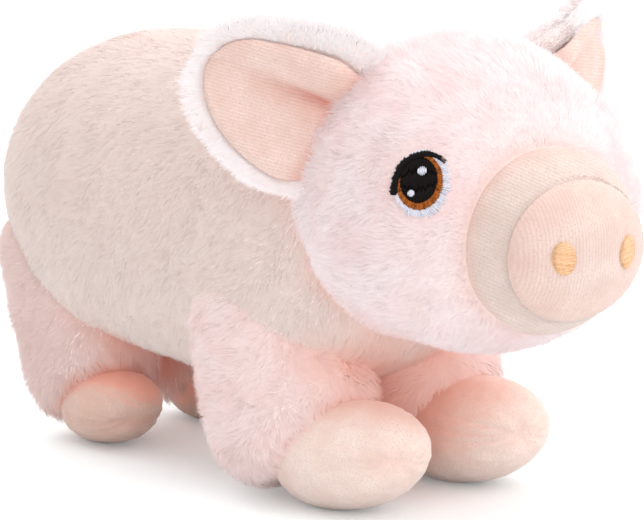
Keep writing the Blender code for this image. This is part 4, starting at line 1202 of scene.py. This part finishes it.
class Ear:
    """The middle surface of an ear, and the layers that stand off it."""

    def __init__(self, sign):
        top, foot = head_point(EAR_BASE_TOP, sign), head_point(EAR_BASE_FOOT, sign)
        tip = head_point(array(EAR_TIP) + (array(FAR_EAR_TIP_SHIFT) if sign > 0 else 0), sign)
        self.middle = (top + foot) / 2
        self.chord = unit(foot - top)
        rise = (tip - self.middle) - self.chord * np.dot(tip - self.middle, self.chord)
        self.height = np.linalg.norm(rise)
        self.rise = unit(rise)
        facing = unit(np.cross(self.chord, self.rise))
        self.facing = facing if facing[1] < 0 else -facing
        self.half_base = np.linalg.norm(foot - top) / 2

    def point(self, t, across, inset, height):
        upper, lower, cup = smooth_row(EAR_ROWS, t)[0]
        width = upper + (lower - upper) * across
        upper_share = LINING_UPPER_SHARES[1] + (LINING_UPPER_SHARES[0] - LINING_UPPER_SHARES[1]) * t
        inward = inset * (upper_share * (1 - across) - LINING_LOWER_SHARE * across)
        if across < EAR_VALLEY:
            lift = math.sin((1 - across / EAR_VALLEY) * math.pi / 2) ** 0.7
        else:
            lift = 0.5 * ((across - EAR_VALLEY) / (1 - EAR_VALLEY)) ** 2
        lift -= FOLD_DEPTH * math.exp(-(((across - EAR_VALLEY) / FOLD_WIDTH) ** 2)) * max(0.0, 1 - t) ** 1.2
        thick = height * (EAR_ROOT_SHARE + (1 - EAR_ROOT_SHARE) * min(1.0, t / EAR_ROOT_END))
        off = EAR_CUP * cup * lift + thick
        return self.middle + self.chord * (self.half_base * width + inward) + self.facing * off

    def layer(self, steps, columns, inset, height):
        """Rows of points from the base seam to the tip, which is drawn in to a round edge."""
        tip_height = self.height - inset
        shares = [k / columns for k in range(columns + 1)]
        feet = []
        for across in shares:
            foot = self.point(0.0, across, inset, height)
            hit = ear_base_tree.ray_cast(Vector(foot + self.rise * tip_height), -Vector(self.rise))[0]
            on_head = hit is not None and np.dot(array(hit) - foot, self.rise) > 0
            feet.append(array(hit) if on_head else foot)
        grid = []
        for i in range(steps + 1):
            t = i / steps
            row = []
            for foot, across in zip(feet, shares):
                here = self.point(t, across, inset, height)
                if t < EAR_ROOT_END:
                    low = self.point(0, across, inset, height)
                    high = self.point(EAR_ROOT_END, across, inset, height)
                    s = t / EAR_ROOT_END
                    rising = (high + self.rise * (tip_height * EAR_ROOT_END) - foot) * s
                    row.append(foot + rising + (here - low) - (high - low) * s)
                else:
                    row.append(here + self.rise * (tip_height * t))
            grid.append(row)
        return array(grid)


def flap(back, front):
    """A closed skin over two grids of points and the edge between them."""
    rows, columns = back.shape[:2]
    verts = np.concatenate([back.reshape(-1, 3), front.reshape(-1, 3)])
    layer = rows * columns
    faces, uvs = [], []

    def add(face, half):
        faces.append(face)
        places = [divmod(i % layer, columns) for i in face]
        uvs.append(tuple((k / (columns - 1) / 2 + half / 2, r / (rows - 1)) for r, k in places))

    for side in range(2):
        for r in range(rows - 1):
            for k in range(columns - 1):
                a = side * layer + r * columns + k
                face = (a, a + 1, a + columns + 1, a + columns)
                add(face if side else face[::-1], side)
    edge = [r * columns for r in range(rows)] + [(rows - 1) * columns + k for k in range(1, columns)]
    edge += [r * columns + columns - 1 for r in range(rows - 2, -1, -1)] + [k for k in range(columns - 2, 0, -1)]
    for a, b in zip(edge, edge[1:] + edge[:1]):
        add((a, b, b + layer, a + layer), 0)
    return Skin(verts, faces, uvs)


def rim_share(rows, columns):
    """0 on the rim of an ear's grid, 1 a little way in."""
    across = np.linspace(0, 1, columns)
    along = np.linspace(0, 1, rows)
    return np.clip(np.minimum(np.minimum(across, 1 - across)[None] / 0.09, (1 - along)[:, None] / 0.07), 0, 1)


def rounded(grid_back, grid_front):
    """Draws the two layers together near the rim, so that the edge is round."""
    near = rim_share(*grid_back.shape[:2])
    share = 0.30 * (1 - np.sqrt(1 - (1 - near) ** 2))
    middle = (grid_back + grid_front) / 2
    pull = share[..., None]
    return grid_back + (middle - grid_back) * pull * 2, grid_front + (middle - grid_front) * pull * 2


for side, sign in SIDES:
    ear = Ear(sign)
    start = ear.middle + SHIFT
    bend = ("toy", f"ear_{side}", tuple(start - ear.rise * 0.001), tuple(start + ear.rise * 0.009))
    layers = ear.layer(*EAR_GRID, 0.0, -EAR_THICKNESS), ear.layer(*EAR_GRID, 0.0, 0.0)
    ear_skin = flap(*rounded(*layers))

    back = ear.layer(*LINING_GRID, LINING_INSET, LINING_LIFT)
    front = ear.layer(*LINING_GRID, LINING_INSET, LINING_LIFT + LINING_THICKNESS)
    rows, columns = back.shape[:2]
    fullness = 0.10 + 0.90 * np.sin(rim_share(rows, columns) * math.pi / 2)[..., None]
    lining_skin = flap(back, back + (front - back) * fullness)
    t, across = np.meshgrid(np.linspace(0, 1, rows), np.linspace(0, 1, columns), indexing="ij")
    # Painted shade on the lining: a shadow line along the fold, a softer flush beside it and the pocket at the base
    painted_crease = bell(across, EAR_VALLEY, 0.026) * np.clip(1 - t * 1.7, 0, 1) ** 1.2
    painted_flush = 0.34 * bell(across, EAR_VALLEY + 0.09, 0.10) * np.clip(1 - t * 1.2, 0, 1)
    painted_pocket = np.clip(1 - t / 0.17, 0, 1) ** 1.4 * (0.4 + 0.6 * (across > 0.3))
    lining_skin.painted_shade = np.tile(np.clip(painted_crease + painted_flush + painted_pocket, 0, 1).ravel(), 2)
    lining_tree = lining_skin.tree()

    ear_layers = ("back", ear_skin, backing, "fur"), ("lining", lining_skin, velour_ear, "velour")
    for layer, skin, material, slot in ear_layers:
        made = skin_object(f"ear_{layer}_cover_{side}", skin, material, None)
        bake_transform(made)
        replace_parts(made, f"ear_{layer}_{side}")

    def ear_roots(points, normals):
        kept = np.ones(len(points), bool)
        for i in np.nonzero(normals @ ear.facing > 0.3)[0]:
            hit = lining_tree.ray_cast(Vector(points[i] + ear.facing * 0.004), -Vector(ear.facing), 0.006)[0]
            kept[i] = hit is None
        return kept & ~head_form.holds(points, 0.0001)

    def ear_comb(points, normals):
        local = points - ear.middle
        return ear.rise * 0.5 + ear.chord * np.clip(local @ ear.chord / 0.02, -1, 1)[:, None]

    def ear_lean(points):
        away = array([lining_tree.find_nearest(Vector(p), 0.0030)[3] or 0.0030 for p in points])
        share = climb(away, 0.0, 0.0018)
        return np.radians(22 + 10 * share), np.radians(44 + 18 * share)

    grow(
        f"ear_fur_{side}", ear_fur, None, ear_skin, density=15.0, seed=41 + sign, length=steady(3.2 * MM),
        comb=ear_comb, lean=ear_lean, width=0.13 * MM, keep=ear_roots, facing=ear.facing, blend=bend,
    )

# Legs and feet

for name, spec, seed in (("front", FRONT_LEG, 51), ("hind", HIND_LEG, 61)):
    for side, sign in SIDES:
        leg_form, foot_form, seam, normal, ahead, across, middle = LIMBS[name, side]
        leg_skin = leg_form.skin(48, 72)
        depth = (leg_skin.verts - seam) @ normal + SEAM_GAP
        eased = -LEG_EASE + LEG_EASE * np.tanh((depth + LEG_EASE) / LEG_EASE)
        bent = np.where(depth > -LEG_EASE, eased, depth)
        leg_skin.verts = leg_skin.verts + normal * (bent - depth)[:, None]
        leg_skin.measure()
        # Painted shade on the leg where the torso and the other forms close in
        shade_between_forms(uneven(leg_skin, 0.0006, 0.014, 5.0))
        solids = f"{name}_leg_{side}", f"{name}_leg_stuffing_{side}"
        cover(f"{name}_leg_cover_{side}", leg_skin, backing, "toy", "fur", 0.8, *solids)

        def leg_roots(points, normals):
            inside = torso_form.holds(points, -UNDER_FUR) | foot_form.holds(points, BY_SEAM)
            if name == "front":
                inside |= head_form.holds(points, -UNDER_FUR)
            return ~inside & (points[:, 2] > 0.0008)

        def leg_comb(points, normals):
            gap = climb((seam - points) @ normal, 0.0, 0.007)[:, None]
            return np.array([0.0, 0.65, -0.60]) * gap + normal * (1 - gap)

        def leg_length(points):
            return 4.2 * MM * (0.45 + 0.55 * climb(points[:, 2], 0.0, 0.010))

        grow(
            f"{name}_leg_fur_{side}", leg_furs[name], "toy", leg_skin, density=9.0, seed=seed + sign,
            length=leg_length, comb=leg_comb, lean=leaning(36, 70), width=0.15 * MM, keep=leg_roots,
        )

        foot_skin = foot_form.skin(64, 88)
        foot_skin.stand()
        aside, rise = spec["dimple"]
        start = np.array([middle[0] - aside, middle[1], rise]) + ahead * 0.04
        hit = array(foot_skin.tree().ray_cast(Vector(start), -Vector(ahead))[0])
        local = foot_skin.verts - hit
        wide, deep, high = spec["dimple_sizes"]
        x, y = local @ across, local[:, 2]
        reach = np.hypot(x / wide, y / high)
        in_front = (foot_skin.verts - middle) @ ahead > 0
        turn = np.arctan2(y / high, x / wide)
        pucker = 0.5 + 0.5 * np.sin(turn * FOLDS_AROUND + 2 * np.sin(turn * 2))
        dent = deep * np.exp(-(reach**2) / 1.6)
        folds = FOLD_HEIGHT * pucker * np.exp(-((reach - 1.9) ** 2) / 1.2)
        # Painted shade in and round the toe's dimple
        painted_flush = np.where(in_front, 0.30 * np.exp(-(reach**2) / 3.0) * (0.45 + 0.55 * pucker), 0.0)
        foot_skin.push(np.where(in_front, -(dent + folds), 0.0))
        foot_skin.stand()
        ripples = NOISE(foot_skin.verts * (1, 1, 2.2) + 9, 0.0016)[:, 0]
        above = climb(foot_skin.verts[:, 2], 0.0, 0.002)
        shade_between_forms(foot_skin.push(RIPPLE_HEIGHT * ripples * above))
        # Painted shade on the feet: a uniform share on the hind feet, which sit in shade, more where forms close in,
        # and in the dimple
        base, gain = FOOT_PAINTED_SHADE[name]
        foot_skin.painted_shade = np.clip(base + foot_skin.painted_shade * gain + painted_flush, 0, 1)
        solids = f"{name}_foot_{side}", f"{name}_foot_stuffing_{side}"
        cover(f"{name}_foot_cover_{side}", foot_skin, foot_velours[name], "toy", "velour", 0.85, *solids)

# Tail

low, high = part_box("tail")
root = np.array([0.0, low.y + TAIL_RADIUS, low.z + TAIL_RADIUS]) - SHIFT * (0, 1, 1)
path = [(root, 0.0)]
for i in range(TAIL_STEPS + 1):
    s = i / TAIL_STEPS
    angle = math.tau * TAIL_TURNS * s
    curl = TAIL_CURL_RADIUS * min(1.0, TAIL_OPEN[0] + (1 - TAIL_OPEN[0]) * s / TAIL_OPEN[1])
    offset = np.array([curl * math.sin(angle), TAIL_PITCH * s + TAIL_ROOT_LENGTH, curl * (1 - math.cos(angle))])
    path.append((root + offset, s))
rings = []
side = np.array([1.0, 0.0, 0.0])
back = np.array([0.0, 1.0, 0.0])
cap_angles = [math.pi / 2 * k / 8 for k in range(1, 8)]


def tail_ring(centre, tangent, radius):
    rings.append(oval_ring(centre, side, np.cross(side, tangent), radius, radius, TAIL_AROUND))


for angle in cap_angles:
    tail_ring(root - back * (TAIL_RADIUS * math.cos(angle)), back, TAIL_RADIUS * math.sin(angle))
for i, (centre, s) in enumerate(path):
    tangent = unit(path[min(i + 1, len(path) - 1)][0] - path[max(i - 1, 0)][0])
    side = unit(side - tangent * np.dot(side, tangent))
    radius = TAIL_RADIUS * (1 + (TAIL_TIP_SHARE - 1) * s)
    tail_ring(centre, tangent, radius)
for angle in cap_angles:
    tail_ring(centre + tangent * (radius * math.sin(angle)), tangent, radius * math.cos(angle))
tail_skin = tube(rings, [root - back * TAIL_RADIUS, centre + tangent * radius])
cover("tail_cover", tail_skin, foot_velours["front"], "tail_curl", "velour", 0.9, "tail")
grow(
    "tail_pile", tail_fuzz, "tail_curl", tail_skin, density=9.0, seed=71, length=steady(0.9 * MM),
    comb=combed(0.0, 0.8, -0.3), lean=leaning(35, 60), width=0.10 * MM, sink=0.1 * MM, slot="velour",
)

# Floor, camera and light

REACH = 4.0
floor = Graph("floor", 0.9, specular=0.05)
floor.shader.inputs["Base Color"].default_value = (0.855, 0.90, 0.912, 1)
floor.shader.inputs["Emission Color"].default_value = (1, 1, 1, 1)
camera_ray = floor.add("ShaderNodeLightPath", "Is Camera Ray", {})
glow = floor.add("ShaderNodeMath", 0, {0: camera_ray, 1: FLOOR_GLOW}, operation="MULTIPLY")
floor.feed("Emission Strength", glow)
floor_mesh = bpy.data.meshes.new("floor")
corners = [(-REACH, -REACH, 0), (REACH, -REACH, 0), (REACH, REACH, 0), (-REACH, REACH, 0)]
floor_mesh.from_pydata(corners, [], [(0, 1, 2, 3)])
show("floor", floor_mesh, floor.material, None)


def look_at_toy(name, data, azimuth, elevation, distance):
    """A camera or a lamp that looks at the toy from a direction."""
    made = bpy.data.objects.new(name, data)
    a, e = math.radians(azimuth), math.radians(elevation)
    way = Vector((math.sin(a) * math.cos(e), -math.cos(a) * math.cos(e), math.sin(e)))
    made.location = CAMERA_TARGET + way * distance
    made.rotation_euler = (-way).to_track_quat("-Z", "Y").to_euler()
    bpy.context.scene.collection.objects.link(made)
    return made


camera_data = bpy.data.cameras.new("camera")
camera_data.lens = CAMERA_LENS
camera_data.sensor_width = SENSOR
camera_data.clip_start = 0.01
camera = look_at_toy("camera", camera_data, CAMERA_AZIMUTH, CAMERA_ELEVATION, CAMERA_DISTANCE)
bpy.context.scene.camera = camera

world = bpy.data.worlds.new("studio")
bpy.context.scene.world = world
world.use_nodes = True
tree = world.node_tree
background = tree.nodes["Background"]
background.inputs["Color"].default_value = (1.0, 0.985, 0.975, 1)
background.inputs["Strength"].default_value = WORLD_STRENGTH
seen = add_node(tree, "ShaderNodeBackground", 0, {"Color": (1, 1, 1, 1), "Strength": 1.0})
rays = [add_node(tree, "ShaderNodeLightPath", kind, {}) for kind in ("Is Camera Ray", "Is Glossy Ray")]
direct = add_node(tree, "ShaderNodeMath", 0, {0: rays[0], 1: rays[1]}, operation="MAXIMUM")
chosen = add_node(tree, "ShaderNodeMixShader", 0, {0: direct, 1: background.outputs[0], 2: seen})
tree.links.new(chosen, tree.nodes["World Output"].inputs["Surface"])

for name, azimuth, elevation, distance, size, power in LAMPS:
    data = bpy.data.lights.new(name, "AREA")
    data.size = size
    data.energy = power
    look_at_toy(name, data, azimuth, elevation, distance)

bpy.context.scene.view_settings.view_transform = "Standard"

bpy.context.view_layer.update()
